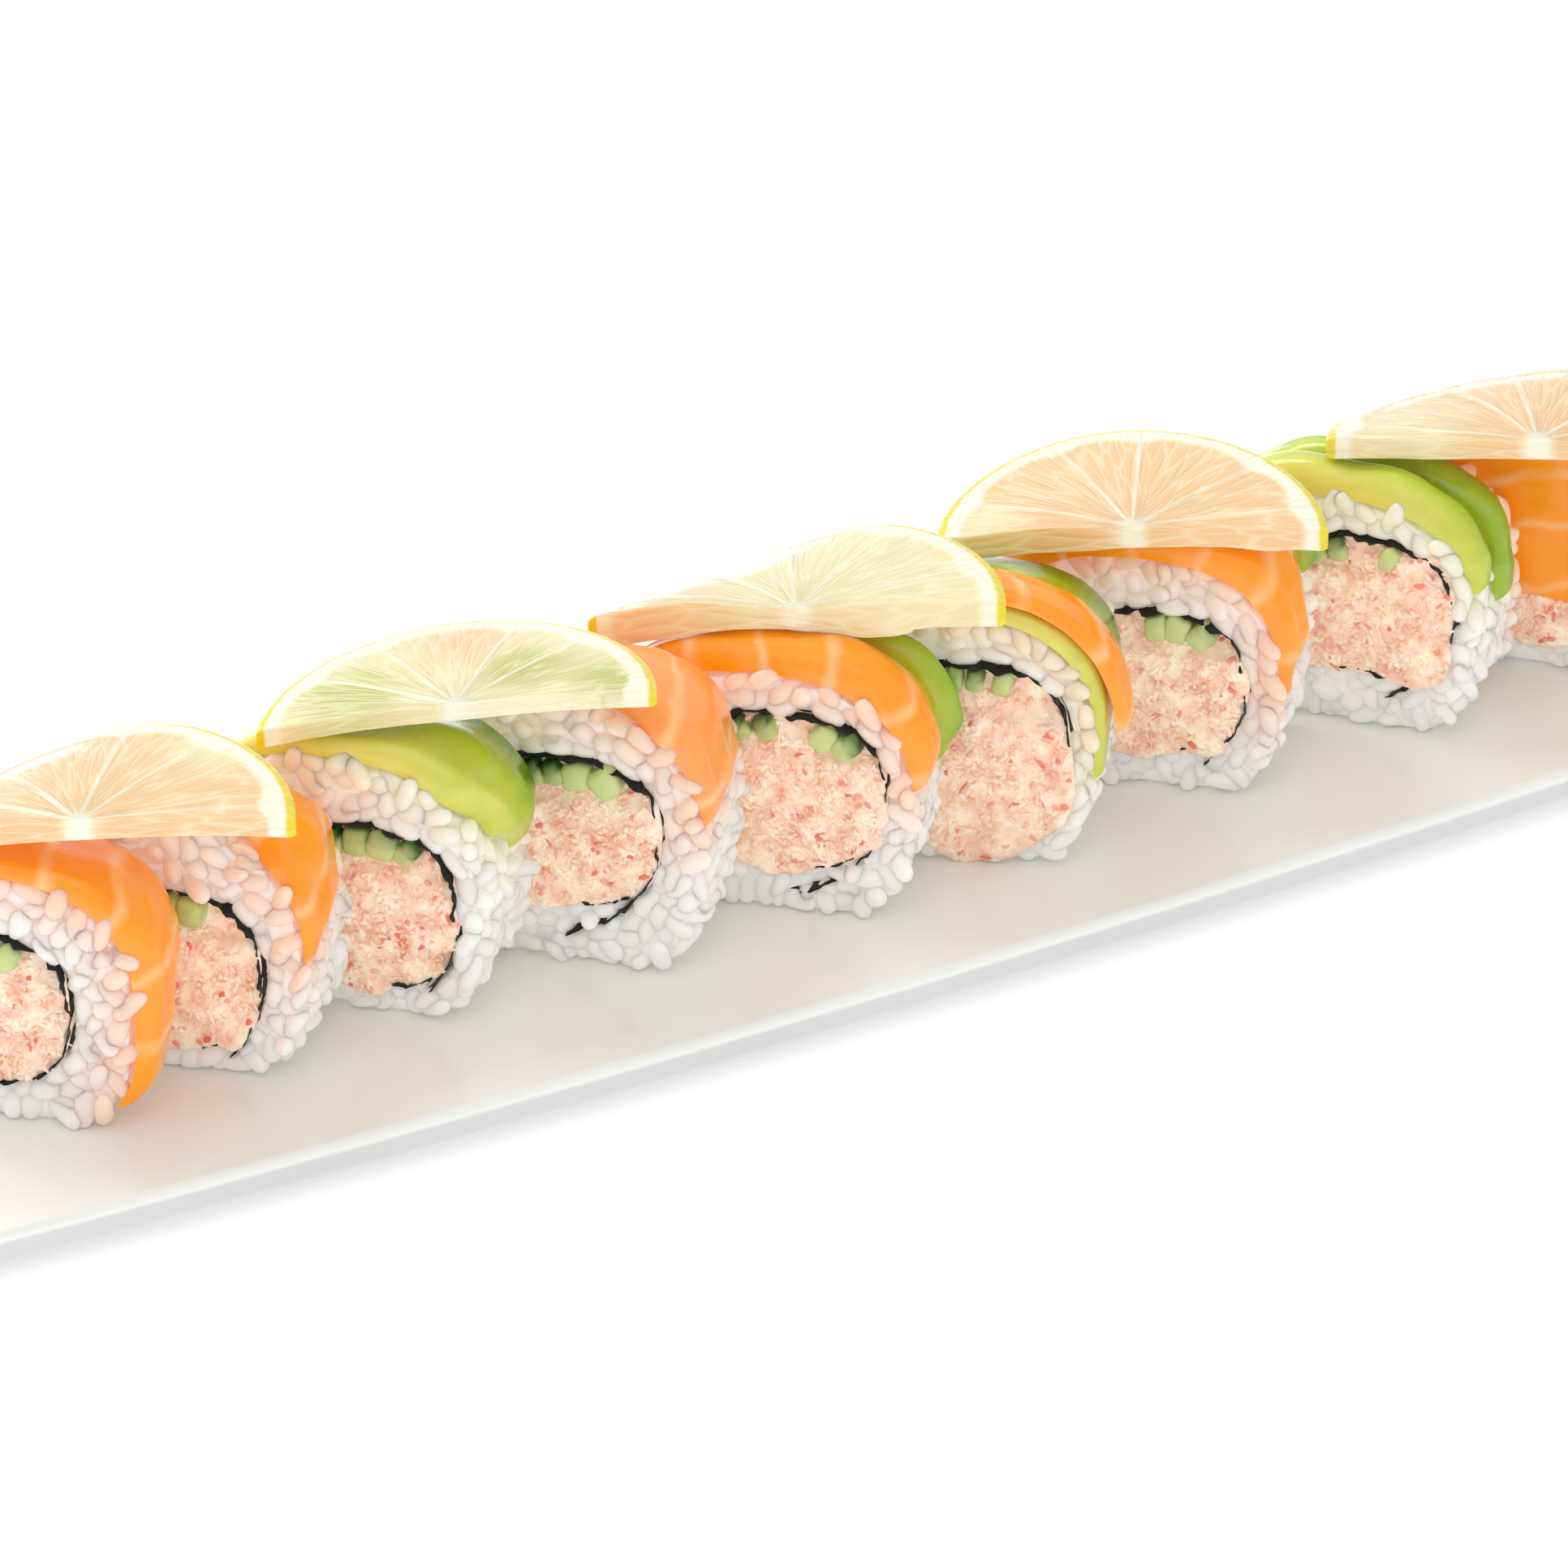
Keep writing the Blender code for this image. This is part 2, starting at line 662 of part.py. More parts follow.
def lemon_supports(lemon, tree):
    """What a half slice can rest on: (along, back, height) all over its area."""
    sky = 0.2
    found = []
    steps = 26
    for i in range(-steps, steps + 1):
        for j in range(steps + 1):
            along, back = lemon.radius * i / steps, lemon.radius * j / steps
            if along * along + back * back > lemon.radius * lemon.radius:
                continue
            plan = lemon_plan(lemon, along, back)
            hit = tree.ray_cast(Vector((*plan, sky)), Vector((0, 0, -1)))[0]
            if hit:
                found.append((along, back, hit.z))
    return found


def draped_height(lemon, supports, along, back):
    """The underside's height at a place: as low as its bend and what it rests on allow."""
    best = 0.0
    for other_along, other_back, height in supports:
        away = (along - other_along) ** 2 + (back - other_back) ** 2
        rise = lemon_rise(lemon, along, back) - lemon_rise(lemon, other_along, other_back)
        best = max(best, height + rise - away / (2 * LEMON_BEND))
    return best + LEMON_CLEAR


def build_lemon(number, lemon, tree, materials):
    """One half slice of lemon, draped over the toppings."""
    supports = lemon_supports(lemon, tree)
    under, over = [], []
    for column in lemon_local(lemon):
        lower = [
            Vector((*lemon_plan(lemon, along, back), draped_height(lemon, supports, along, back)))
            for along, back in column
        ]
        under.append(lower)
        over.append([point + Vector((0, 0, lemon.thickness)) for point in lower])
    return add_object(f"lemon_{number}", lambda body: slab(body, under, over), materials["lemon"])


def main():
    """Builds the plate, the slices, their toppings and the lemon."""
    for made in list(bpy.data.objects):
        bpy.data.objects.remove(made)
    draw = random.Random(SEED)
    materials = make_materials()
    build_plate(materials)
    holders = {number: build_slice(number, piece, materials, draw) for number, piece in SLICES.items()}
    toppings = [build_topping(topping, holders, materials) for topping in TOPPINGS]
    toppings.append(add_object("salmon_9", flap_body(SLICES[9]), materials["salmon"], holders[9]))
    bpy.context.view_layer.update()
    carried = toppings + [made for made in bpy.data.objects if made.name.startswith("rice_")]
    tree = solid_tree(carried)
    for number, lemon in LEMONS.items():
        build_lemon(number, lemon, tree, materials)


main()
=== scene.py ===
"""Looks of a salmon avocado roll on its long plate.

Nine cut slices stand in a row with their cut faces to the front left. Each shows cooked rice grains round
a sheet of nori, crab salad and cucumber sticks, with salmon or avocado draped over it and half lemon slices
on top. Lengths are metres, +X runs along the plate, +Y away from its front edge and +Z up.
"""

from __future__ import annotations

import json
import logging
import math
from collections.abc import Iterator
from contextlib import contextmanager
from dataclasses import dataclass
from enum import Enum

import bpy
import numpy as np
from mathutils import Matrix, Vector, noise
from mathutils.bvhtree import BVHTree

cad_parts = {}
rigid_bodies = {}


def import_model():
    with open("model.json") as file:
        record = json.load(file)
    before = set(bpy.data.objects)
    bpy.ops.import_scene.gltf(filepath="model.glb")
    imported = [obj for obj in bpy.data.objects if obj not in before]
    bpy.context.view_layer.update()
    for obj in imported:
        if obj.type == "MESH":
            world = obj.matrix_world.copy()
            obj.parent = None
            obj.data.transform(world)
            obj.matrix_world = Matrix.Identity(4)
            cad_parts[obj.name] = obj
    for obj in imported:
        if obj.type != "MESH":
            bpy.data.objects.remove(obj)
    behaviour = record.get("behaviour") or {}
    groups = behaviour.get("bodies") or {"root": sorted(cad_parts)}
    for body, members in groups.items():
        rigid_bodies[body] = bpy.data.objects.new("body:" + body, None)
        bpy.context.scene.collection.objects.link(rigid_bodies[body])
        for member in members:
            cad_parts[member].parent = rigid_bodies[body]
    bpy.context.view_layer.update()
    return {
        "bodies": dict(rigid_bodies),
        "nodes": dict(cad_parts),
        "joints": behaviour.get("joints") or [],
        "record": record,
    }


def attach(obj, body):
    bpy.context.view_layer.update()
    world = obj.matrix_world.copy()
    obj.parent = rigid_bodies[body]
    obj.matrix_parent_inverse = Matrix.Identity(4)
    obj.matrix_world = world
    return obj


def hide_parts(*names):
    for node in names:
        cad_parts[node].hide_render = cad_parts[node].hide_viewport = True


LOG = logging.getLogger("roll")
MM = 0.001
GAP = 0.3 * MM
PLATE_TOP = 6.8 * MM


class Cover(Enum):
    """What lies on a slice or under a lemon, and so gives its colour, as painted light, to what is next to
    it.
    """

    SALMON = "salmon"
    AVOCADO = "avocado"
    RICE = "rice"


# ---------------------------------------------------------------------------
# Colours and material nodes
# ---------------------------------------------------------------------------


def srgb(code: str, alpha: float = 1.0) -> tuple[float, float, float, float]:
    """Turns an sRGB hex colour to the linear values that a shader takes.

    Args:
        code: A colour such as "#F2C14E".
        alpha: The colour's alpha.

    Returns:
        Linear red, green and blue, and alpha.
    """
    parts = [int(code[i : i + 2], 16) / 255 for i in (1, 3, 5)]
    linear = [part / 12.92 if part <= 0.04045 else ((part + 0.055) / 1.055) ** 2.4 for part in parts]
    return (linear[0], linear[1], linear[2], alpha)


def add_node(
    tree: bpy.types.NodeTree, kind: str, inputs: dict | None = None, **settings: object
) -> bpy.types.Node:
    """Adds a node with its settings, values and links.

    Args:
        tree: The material's node tree.
        kind: The node's type name.
        inputs: Socket name or number to a value, or to the output socket that feeds it.
        settings: Properties of the node.

    Returns:
        The new node.
    """
    node = tree.nodes.new(kind)
    for key, value in settings.items():
        setattr(node, key, value)
    for key, value in (inputs or {}).items():
        if isinstance(value, bpy.types.NodeSocket):
            tree.links.new(value, node.inputs[key])
        else:
            node.inputs[key].default_value = value
    return node


def mix_colours(
    tree: bpy.types.NodeTree, share: object, first: object, second: object
) -> bpy.types.NodeSocket:
    """Mixes two colours.

    Args:
        tree: The material's node tree.
        share: The second colour's share, or the socket that gives it.
        first: The colour at share 0, or its socket.
        second: The colour at share 1, or its socket.

    Returns:
        The mixed colour's socket.
    """
    return add_node(tree, "ShaderNodeMix", {0: share, 6: first, 7: second}, data_type="RGBA").outputs[2]


def calculate(tree: bpy.types.NodeTree, operation: str, *values: object) -> bpy.types.NodeSocket:
    """Adds a sum of numbers and sockets.

    Args:
        tree: The material's node tree.
        operation: What is done with them.
        values: The numbers and sockets, in the operation's order.

    Returns:
        The result's socket.
    """
    return add_node(tree, "ShaderNodeMath", dict(enumerate(values)), operation=operation).outputs[0]


def remap(
    tree: bpy.types.NodeTree,
    value: bpy.types.NodeSocket,
    given: tuple[float, float],
    wanted: tuple[float, float] = (0.0, 1.0),
    kind: str = "LINEAR",
) -> bpy.types.NodeSocket:
    """Turns one range of values to another, held at both ends.

    Args:
        tree: The material's node tree.
        value: The value's socket.
        given: Two values.
        wanted: What each of them becomes.
        kind: How it passes from one to the other.

    Returns:
        The result's socket.
    """
    limits = {"Value": value, "From Min": given[0], "From Max": given[1]}
    limits.update({"To Min": wanted[0], "To Max": wanted[1]})
    return add_node(tree, "ShaderNodeMapRange", limits, interpolation_type=kind).outputs["Result"]


def add_noise(
    tree: bpy.types.NodeTree, place: bpy.types.Node, scale: float, detail: float
) -> bpy.types.NodeSocket:
    """Adds noise that keeps its place on the dish.

    Args:
        tree: The material's node tree.
        place: The texture coordinates.
        scale: How many waves a metre has.
        detail: How many finer waves lie on them.

    Returns:
        The noise's socket.
    """
    values = {"Vector": place.outputs["Object"], "Scale": scale, "Detail": detail}
    return add_node(tree, "ShaderNodeTexNoise", values).outputs["Fac"]


def add_bump(
    tree: bpy.types.NodeTree, shader: bpy.types.Node, height: bpy.types.NodeSocket, distance: float,
    strength: float
) -> None:
    """Lets a pattern raise the surface.

    Args:
        tree: The material's node tree.
        shader: Its shader.
        height: The socket that gives the height.
        distance: What a height of 1 is, in metres.
        strength: The relief's share.
    """
    values = {"Height": height, "Distance": distance, "Strength": strength}
    bump = add_node(tree, "ShaderNodeBump", values)
    tree.links.new(bump.outputs["Normal"], shader.inputs["Normal"])


def stored(tree: bpy.types.NodeTree, name: str, kind: str = "Fac") -> bpy.types.NodeSocket:
    """Reads what a mesh stores under a name.

    Args:
        tree: The material's node tree.
        name: The attribute's name.
        kind: Fac for a number, Color for a colour.

    Returns:
        The value's socket.
    """
    return add_node(tree, "ShaderNodeAttribute", attribute_name=name).outputs[kind]


def set_inputs(shader: bpy.types.Node, values: dict[str, object]) -> None:
    """Sets values of a shader.

    Args:
        shader: The shader.
        values: Input name to value.
    """
    for name, value in values.items():
        shader.inputs[name].default_value = value


def start_material(name: str) -> tuple[bpy.types.Material, bpy.types.NodeTree, bpy.types.Node]:
    """Makes a material with a Principled shader.

    Args:
        name: The material's name.

    Returns:
        The material, its node tree and its shader.
    """
    material = bpy.data.materials.new(name)
    material.use_nodes = True
    tree = material.node_tree
    return material, tree, tree.nodes["Principled BSDF"]


@dataclass(frozen=True)
class GlazedPorcelain:
    """Glazed porcelain: a smooth white body under clear glass, so it shines and mirrors what stands on it."""

    colour: str = "#F8F9F5"
    cloud_colour: str = "#F4F6F0"
    side_shade_colour: str = "#DADADC"
    side_shade_top: float = 6.4
    side_shade_full: float = 5.8
    roughness: float = 0.28

    def material(self) -> bpy.types.Material:
        """Makes the material.

        Returns:
            The material.
        """
        made, tree, shader = start_material("glazed porcelain")
        place = add_node(tree, "ShaderNodeTexCoord")
        cloud = add_noise(tree, place, 28.0, 2.0)
        mixed = mix_colours(tree, cloud, srgb(self.colour), srgb(self.cloud_colour))
        # Painted shade: below the rim the side is painted cooler and greyer than the top, for the shade it
        # lies in.
        parts = add_node(tree, "ShaderNodeSeparateXYZ", {0: place.outputs["Object"]})
        heights = (self.side_shade_full * MM, self.side_shade_top * MM)
        side = remap(tree, parts.outputs["Z"], heights, (1.0, 0.0))
        glazed = mix_colours(tree, side, mixed, srgb(self.side_shade_colour))
        tree.links.new(glazed, shader.inputs["Base Color"])
        # Glaze runs in long waves of about 40 mm, a few hundredths of a millimetre high.
        wave = add_noise(tree, place, 25.0, 1.0)
        add_bump(tree, shader, wave, 0.00002, 0.2)
        set_inputs(
            shader,
            {"Roughness": self.roughness, "IOR": 1.5, "Coat Weight": 0.4, "Coat Roughness": 0.16},
        )
        return made


@dataclass(frozen=True)
class CookedRice:
    """Cooked short-grain rice: wet, milky and see-through at its edges, with painted light in the colours of
    the fish and fruit on it, and a painted glow.
    """

    name: str
    pale: str = "#FCFBF8"
    dull: str = "#F4F1EA"
    salmon_light_colour: str = "#FFC3A8"
    avocado_light_colour: str = "#F3F0CB"
    depth: float = 0.003
    painted_glow: float = 0.085

    def material(self) -> bpy.types.Material:
        """Makes the material.

        Returns:
            The material.
        """
        made, tree, shader = start_material(self.name)
        tone = stored(tree, "tone")
        # Painted light: grains near the salmon and the avocado take on the colour of the light these throw
        # onto them.
        warm = stored(tree, "warm")
        lime = stored(tree, "lime")
        base = mix_colours(tree, tone, srgb(self.pale), srgb(self.dull))
        green = mix_colours(tree, lime, base, srgb(self.avocado_light_colour))
        pink = mix_colours(tree, warm, green, srgb(self.salmon_light_colour))
        tree.links.new(pink, shader.inputs["Base Color"])
        place = add_node(tree, "ShaderNodeTexCoord")
        # A cooked grain's skin has soft dents about a millimetre wide.
        dents = add_noise(tree, place, 900.0, 2.0)
        add_bump(tree, shader, dents, 0.00008, 0.25)
        # Painted glow: emission stands in for light that has passed through many grains and comes out again,
        # so cracks between them are never dark.
        tree.links.new(pink, shader.inputs["Emission Color"])
        set_inputs(
            shader,
            {"Emission Strength": self.painted_glow, "Roughness": 0.24, "IOR": 1.38, "Subsurface Weight": 1.0,
             "Subsurface Radius": (1.0, 0.92, 0.85), "Subsurface Scale": self.depth},
        )
        return made


@dataclass(frozen=True)
class RoastedNori:
    """Roasted nori made damp by the rice: nearly black, faintly green, satin, with a papery grain."""

    dark: str = "#0A0C09"
    green: str = "#191F14"

    def material(self) -> bpy.types.Material:
        """Makes the material.

        Returns:
            The material.
        """
        made, tree, shader = start_material("damp roasted nori")
        place = add_node(tree, "ShaderNodeTexCoord")
        fibre = add_noise(tree, place, 1100.0, 3.0)
        mixed = mix_colours(tree, fibre, srgb(self.dark), srgb(self.green))
        tree.links.new(mixed, shader.inputs["Base Color"])
        add_bump(tree, shader, fibre, 0.00015, 0.7)
        set_inputs(shader, {"Roughness": 0.36, "Specular IOR Level": 0.3})
        return made


@dataclass(frozen=True)
class CrabSalad:
    """Shredded crab stick in mayonnaise: creamy pink, moist and fibrous, with orange-red flecks of skin."""

    cream: str = "#FFF0DB"
    blush: str = "#F6CBB2"
    fleck: str = "#E4532A"
    painted_glow: float = 0.13

    def material(self) -> bpy.types.Material:
        """Makes the material.

        Returns:
            The material.
        """
        made, tree, shader = start_material("crab salad")
        place = add_node(tree, "ShaderNodeTexCoord")
        tone = stored(tree, "tone")
        patch = add_noise(tree, place, 330.0, 3.0)
        patch_ramp = remap(tree, patch, (0.38, 0.66))
        soft = mix_colours(tree, patch_ramp, srgb(self.cream), srgb(self.blush))
        # Flecks of skin are 0.5 to 2 mm across.
        spot = add_noise(tree, place, 430.0, 4.0)
        spot_ramp = remap(tree, spot, (0.60, 0.78), (0.0, 0.75))
        red = mix_colours(tree, spot_ramp, soft, srgb(self.fleck))
        shred = mix_colours(tree, tone, red, srgb(self.fleck))
        tree.links.new(shred, shader.inputs["Base Color"])
        grain = add_noise(tree, place, 1500.0, 3.0)
        add_bump(tree, shader, grain, 0.0001, 0.4)
        # Painted glow: emission stands in for the light that comes back out between the shreds, which a solid
        # crumb can't pass on.
        tree.links.new(shred, shader.inputs["Emission Color"])
        set_inputs(shader, {"Emission Strength": self.painted_glow, "Roughness": 0.42, "IOR": 1.4})
        return made


@dataclass(frozen=True)
class CucumberFlesh:
    """Fresh cucumber sticks: watery pale green flesh that light enters, with dark green skin on one side."""

    flesh: str = "#DAE5A4"
    deep: str = "#9CBC4E"
    skin: str = "#2A571B"

    def material(self) -> bpy.types.Material:
        """Makes the material.

        Returns:
            The material.
        """
        made, tree, shader = start_material("fresh cucumber")
        place = add_node(tree, "ShaderNodeTexCoord")
        skin = stored(tree, "skin")
        tone = stored(tree, "tone")
        cells = add_noise(tree, place, 700.0, 3.0)
        mottle = calculate(tree, "MULTIPLY_ADD", cells, tone, 0.05)
        flesh = mix_colours(tree, mottle, srgb(self.flesh), srgb(self.deep))
        mixed = mix_colours(tree, skin, flesh, srgb(self.skin))
        tree.links.new(mixed, shader.inputs["Base Color"])
        add_bump(tree, shader, cells, 0.0002, 0.5)
        set_inputs(
            shader,
            {"Roughness": 0.24, "IOR": 1.36, "Subsurface Weight": 0.4,
             "Subsurface Radius": (0.6, 1.0, 0.35), "Subsurface Scale": 0.001},
        )
        return made


@dataclass(frozen=True)
class RawSalmon:
    """Raw salmon: oily, glowing orange flesh with pale seams of fat between its flakes, and a wet shine."""

    flesh: str = "#FFA40C"
    rich: str = "#FF8E04"
    soft: str = "#FFA05A"
    fat: str = "#FFC98C"
    seam_spacing_mm: float = 9.5
    sway_cm: float = 0.5
    slant: float = 0.35
    painted_glow: float = 0.1

    def material(self) -> bpy.types.Material:
        """Makes the material.

        Returns:
            The material.
        """
        made, tree, shader = start_material("raw salmon")
        strip = add_node(tree, "ShaderNodeUVMap", uv_map="strip")
        place = add_node(tree, "ShaderNodeTexCoord")
        sway = add_noise(tree, place, 110.0, 1.0)
        parts = add_node(tree, "ShaderNodeSeparateXYZ", {0: strip.outputs["UV"]})
        # The strip map counts centimetres, so a seam spacing in millimetres is a tenth of that.
        swayed = calculate(tree, "MULTIPLY_ADD", sway, self.sway_cm, parts.outputs["X"])
        slanted = calculate(tree, "MULTIPLY_ADD", parts.outputs["Y"], self.slant, swayed)
        turns = calculate(tree, "MULTIPLY", slanted, 10 / self.seam_spacing_mm)
        phase = calculate(tree, "PINGPONG", turns, 0.5)
        seam = remap(tree, phase, (0.0, 0.16), (1.0, 0.0), "SMOOTHSTEP")
        blotch = add_noise(tree, place, 160.0, 2.0)
        flesh = mix_colours(tree, blotch, srgb(self.flesh), srgb(self.rich))
        blush = stored(tree, "blush")
        flesh = mix_colours(tree, blush, flesh, srgb(self.soft))
        faint = remap(tree, blotch, (0.25, 0.65), (0.15, 0.8))
        line = calculate(tree, "MULTIPLY", seam, faint)
        mixed = mix_colours(tree, line, flesh, srgb(self.fat))
        tree.links.new(mixed, shader.inputs["Base Color"])
        add_bump(tree, shader, seam, 0.0003, 0.4)
        # Painted glow: emission adds to its colour the light that has gone through the strip from behind.
        tree.links.new(mixed, shader.inputs["Emission Color"])
        set_inputs(
            shader,
            {"Emission Strength": self.painted_glow, "Roughness": 0.27, "IOR": 1.42, "Subsurface Weight": 0.25,
             "Subsurface Radius": (1.0, 0.6, 0.2), "Subsurface Scale": 0.0015, "Coat Weight": 0.6,
             "Coat Roughness": 0.08},
        )
        return made


@dataclass(frozen=True)
class RipeAvocado:
    """Ripe avocado: buttery flesh, yellow by the stone and deep green under the skin, with a soft shine."""

    stone_side: str = "#E9DF6A"
    middle: str = "#B7CF2B"
    skin_side: str = "#6FA00E"
    edge: str = "#3E6D0B"

    def material(self) -> bpy.types.Material:
        """Makes the material.

        Returns:
            The material.
        """
        made, tree, shader = start_material("ripe avocado")
        depth = stored(tree, "depth")
        place = add_node(tree, "ShaderNodeTexCoord")
        cloud = add_noise(tree, place, 220.0, 3.0)
        wander = remap(tree, cloud, (0.0, 1.0), (-0.15, 0.15))
        total = calculate(tree, "ADD", depth, wander)
        ramp = add_node(tree, "ShaderNodeValToRGB", {0: total})
        stops = ramp.color_ramp.elements
        stops[0].position = 0.02
        stops[0].color = srgb(self.stone_side)
        stops[1].position = 0.97
        stops[1].color = srgb(self.edge)
        stops.new(0.42).color = srgb(self.middle)
        stops.new(0.80).color = srgb(self.skin_side)
        tree.links.new(ramp.outputs["Color"], shader.inputs["Base Color"])
        add_bump(tree, shader, cloud, 0.0006, 0.5)
        set_inputs(
            shader,
            {"Roughness": 0.24, "IOR": 1.42, "Coat Weight": 0.6, "Coat Roughness": 0.1,
             "Subsurface Weight": 0.35, "Subsurface Radius": (0.8, 1.0, 0.25), "Subsurface Scale": 0.0015},
        )
        return made


@dataclass(frozen=True)
class LemonSlice:
    """A thin cut lemon: glassy juice sacs with the painted colour of the light from what lies below, white
    pith and bright oily zest.
    """

    zest: str = "#EBD71C"
    pith: str = "#FAF6DE"
    wall: str = "#FBF4D6"
    sac_length_mm: float = 9.5
    sac_width_mm: float = 1.3
    painted_glow: float = 0.035

    def material(self) -> bpy.types.Material:
        """Makes the material.

        Returns:
            The material.
        """
        made, tree, shader = start_material("cut lemon")
        polar = add_node(tree, "ShaderNodeUVMap", uv_map="polar")
        # Painted light: the colour that comes up through the sacs from what lies below.
        under = stored(tree, "under", "Color")
        webs = stored(tree, "web")
        place = add_node(tree, "ShaderNodeTexCoord")
        # Sacs point to the middle: long along the radius, narrow across it. The map is in centimetres.
        stretched = add_node(
            tree,
            "ShaderNodeMapping",
            {"Vector": polar.outputs["UV"], "Scale": (10 / self.sac_width_mm, 10 / self.sac_length_mm, 1.0)},
        )
        sacs = add_node(
            tree,
            "ShaderNodeTexVoronoi",
            {"Vector": stretched.outputs["Vector"], "Scale": 1.0, "Randomness": 1.0},
            feature="DISTANCE_TO_EDGE",
        )
        sac_edge = remap(tree, sacs.outputs["Distance"], (0.0, 0.12), (0.45, 0.0))
        flesh = mix_colours(tree, sac_edge, under, srgb(self.wall))
        walled = mix_colours(tree, webs, flesh, srgb(self.pith))
        rim = stored(tree, "rim")
        jitter = add_noise(tree, place, 500.0, 2.0)
        shifted = calculate(tree, "MULTIPLY_ADD", jitter, 0.25, rim)
        zested = remap(tree, shifted, (0.58, 0.78), (0.0, 1.0), "SMOOTHSTEP")
        skin = mix_colours(tree, zested, walled, srgb(self.zest))
        tree.links.new(skin, shader.inputs["Base Color"])
        relief = remap(tree, sacs.outputs["Distance"], (0.0, 0.3))
        add_bump(tree, shader, relief, 0.0004, 0.5)
        # Painted glow: emission stands in for the light that the fish below throws back up through the sacs.
        tree.links.new(skin, shader.inputs["Emission Color"])
        set_inputs(
            shader,
            {"Emission Strength": self.painted_glow, "Roughness": 0.2, "IOR": 1.36, "Subsurface Weight": 0.4,
             "Subsurface Radius": (1.0, 0.9, 0.6), "Subsurface Scale": 0.001, "Coat Weight": 0.7,
             "Coat Roughness": 0.07},
        )
        return made


# ---------------------------------------------------------------------------
# Mesh helpers
# ---------------------------------------------------------------------------


def select_only(made: bpy.types.Object) -> None:
    """Deselects all and selects one object as the active one.

    Args:
        made: The object.
    """
    bpy.ops.object.select_all(action="DESELECT")
    made.select_set(True)
    bpy.context.view_layer.objects.active = made


@contextmanager
def editing(made: bpy.types.Object) -> Iterator[None]:
    """Opens an object's whole mesh for the edits inside a with block.

    Args:
        made: The object.

    Yields:
        Nothing.
    """
    select_only(made)
    bpy.ops.object.mode_set(mode="EDIT")
    bpy.ops.mesh.select_all(action="SELECT")
    yield
    bpy.ops.object.mode_set(mode="OBJECT")


def node_copy(node: bpy.types.Object, name: str) -> bpy.types.Object:
    """Copies a solid into a new object, with its loose triangles merged and paired to quads.

    Args:
        node: The solid's object.
        name: The new object's name.

    Returns:
        The new object.
    """
    made = bpy.data.objects.new(name, node.data.copy())
    bpy.context.scene.collection.objects.link(made)
    made.data.materials.clear()
    with editing(made):
        bpy.ops.mesh.remove_doubles(threshold=0.00001)
        bpy.ops.mesh.tris_convert_to_quads(face_threshold=math.radians(50), shape_threshold=math.radians(70))
    return made


def apply_modifier(made: bpy.types.Object, name: str, kind: str, **settings: object) -> None:
    """Adds a modifier, sets it and applies it.

    Args:
        made: The object.
        name: The modifier's name.
        kind: The modifier's type.
        settings: Properties of the modifier.
    """
    select_only(made)
    modifier = made.modifiers.new(name, kind)
    for key, value in settings.items():
        setattr(modifier, key, value)
    bpy.ops.object.modifier_apply(modifier=name)


def read_points(mesh: bpy.types.Mesh) -> np.ndarray:
    """The mesh's vertex positions as an array of rows.

    Args:
        mesh: The mesh.

    Returns:
        An array of shape (count, 3).
    """
    flat = np.empty(len(mesh.vertices) * 3)
    mesh.vertices.foreach_get("co", flat)
    return flat.reshape(-1, 3)


def write_points(mesh: bpy.types.Mesh, points: np.ndarray) -> None:
    """Moves the mesh's vertices.

    Args:
        mesh: The mesh.
        points: An array of shape (count, 3).
    """
    mesh.vertices.foreach_set("co", points.ravel())
    mesh.update()


def write_value(mesh: bpy.types.Mesh, name: str, values: np.ndarray) -> None:
    """Stores one number for each vertex under a name that a material reads.

    Args:
        mesh: The mesh.
        name: The attribute's name.
        values: One number for each vertex.
    """
    layer = mesh.attributes.new(name, "FLOAT", "POINT")
    layer.data.foreach_set("value", np.asarray(values, dtype=np.float32))


def write_colour(mesh: bpy.types.Mesh, name: str, colours: np.ndarray) -> None:
    """Stores one linear colour for each vertex under a name that a material reads.

    Args:
        mesh: The mesh.
        name: The attribute's name.
        colours: An array of shape (count, 4).
    """
    layer = mesh.attributes.new(name, "FLOAT_COLOR", "POINT")
    layer.data.foreach_set("color", np.asarray(colours, dtype=np.float32).ravel())


def write_map(mesh: bpy.types.Mesh, name: str, places: np.ndarray) -> None:
    """Stores a map from vertex places, for patterns that follow the surface.

    Args:
        mesh: The mesh.
        name: The map's name.
        places: An array of shape (vertex count, 2).
    """
    layer = mesh.uv_layers.new(name=name)
    corners = np.empty(len(mesh.loops), dtype=np.int32)
    mesh.loops.foreach_get("vertex_index", corners)
    layer.data.foreach_set("uv", places[corners].astype(np.float32).ravel())


def joined_mesh(name: str, points: np.ndarray, faces: np.ndarray) -> bpy.types.Object:
    """Makes one smooth object from arrays of points and triangles.

    Args:
        name: The object's name.
        points: An array of shape (count, 3).
        faces: Vertex numbers, of shape (count, 3).

    Returns:
        The new object.
    """
    mesh = bpy.data.meshes.new(name)
    mesh.vertices.add(len(points))
    mesh.vertices.foreach_set("co", points.ravel())
    mesh.loops.add(faces.size)
    mesh.loops.foreach_set("vertex_index", faces.ravel().astype(np.int32))
    mesh.polygons.add(len(faces))
    mesh.polygons.foreach_set("loop_start", np.arange(0, faces.size, 3, dtype=np.int32))
    mesh.polygons.foreach_set("use_smooth", np.ones(len(faces), dtype=bool))
    mesh.update(calc_edges=True)
    made = bpy.data.objects.new(name, mesh)
    bpy.context.scene.collection.objects.link(made)
    return made


def solid_tree(nodes: list[bpy.types.Object]) -> BVHTree:
    """A search tree over the faces of some solids.

    Args:
        nodes: The solids' objects.

    Returns:
        The tree.
    """
    points: list[Vector] = []
    faces: list[list[int]] = []
    for node in nodes:
        start = len(points)
        points += [vertex.co.copy() for vertex in node.data.vertices]
        faces += [[start + i for i in polygon.vertices] for polygon in node.data.polygons]
    return BVHTree.FromPolygons(points, faces)


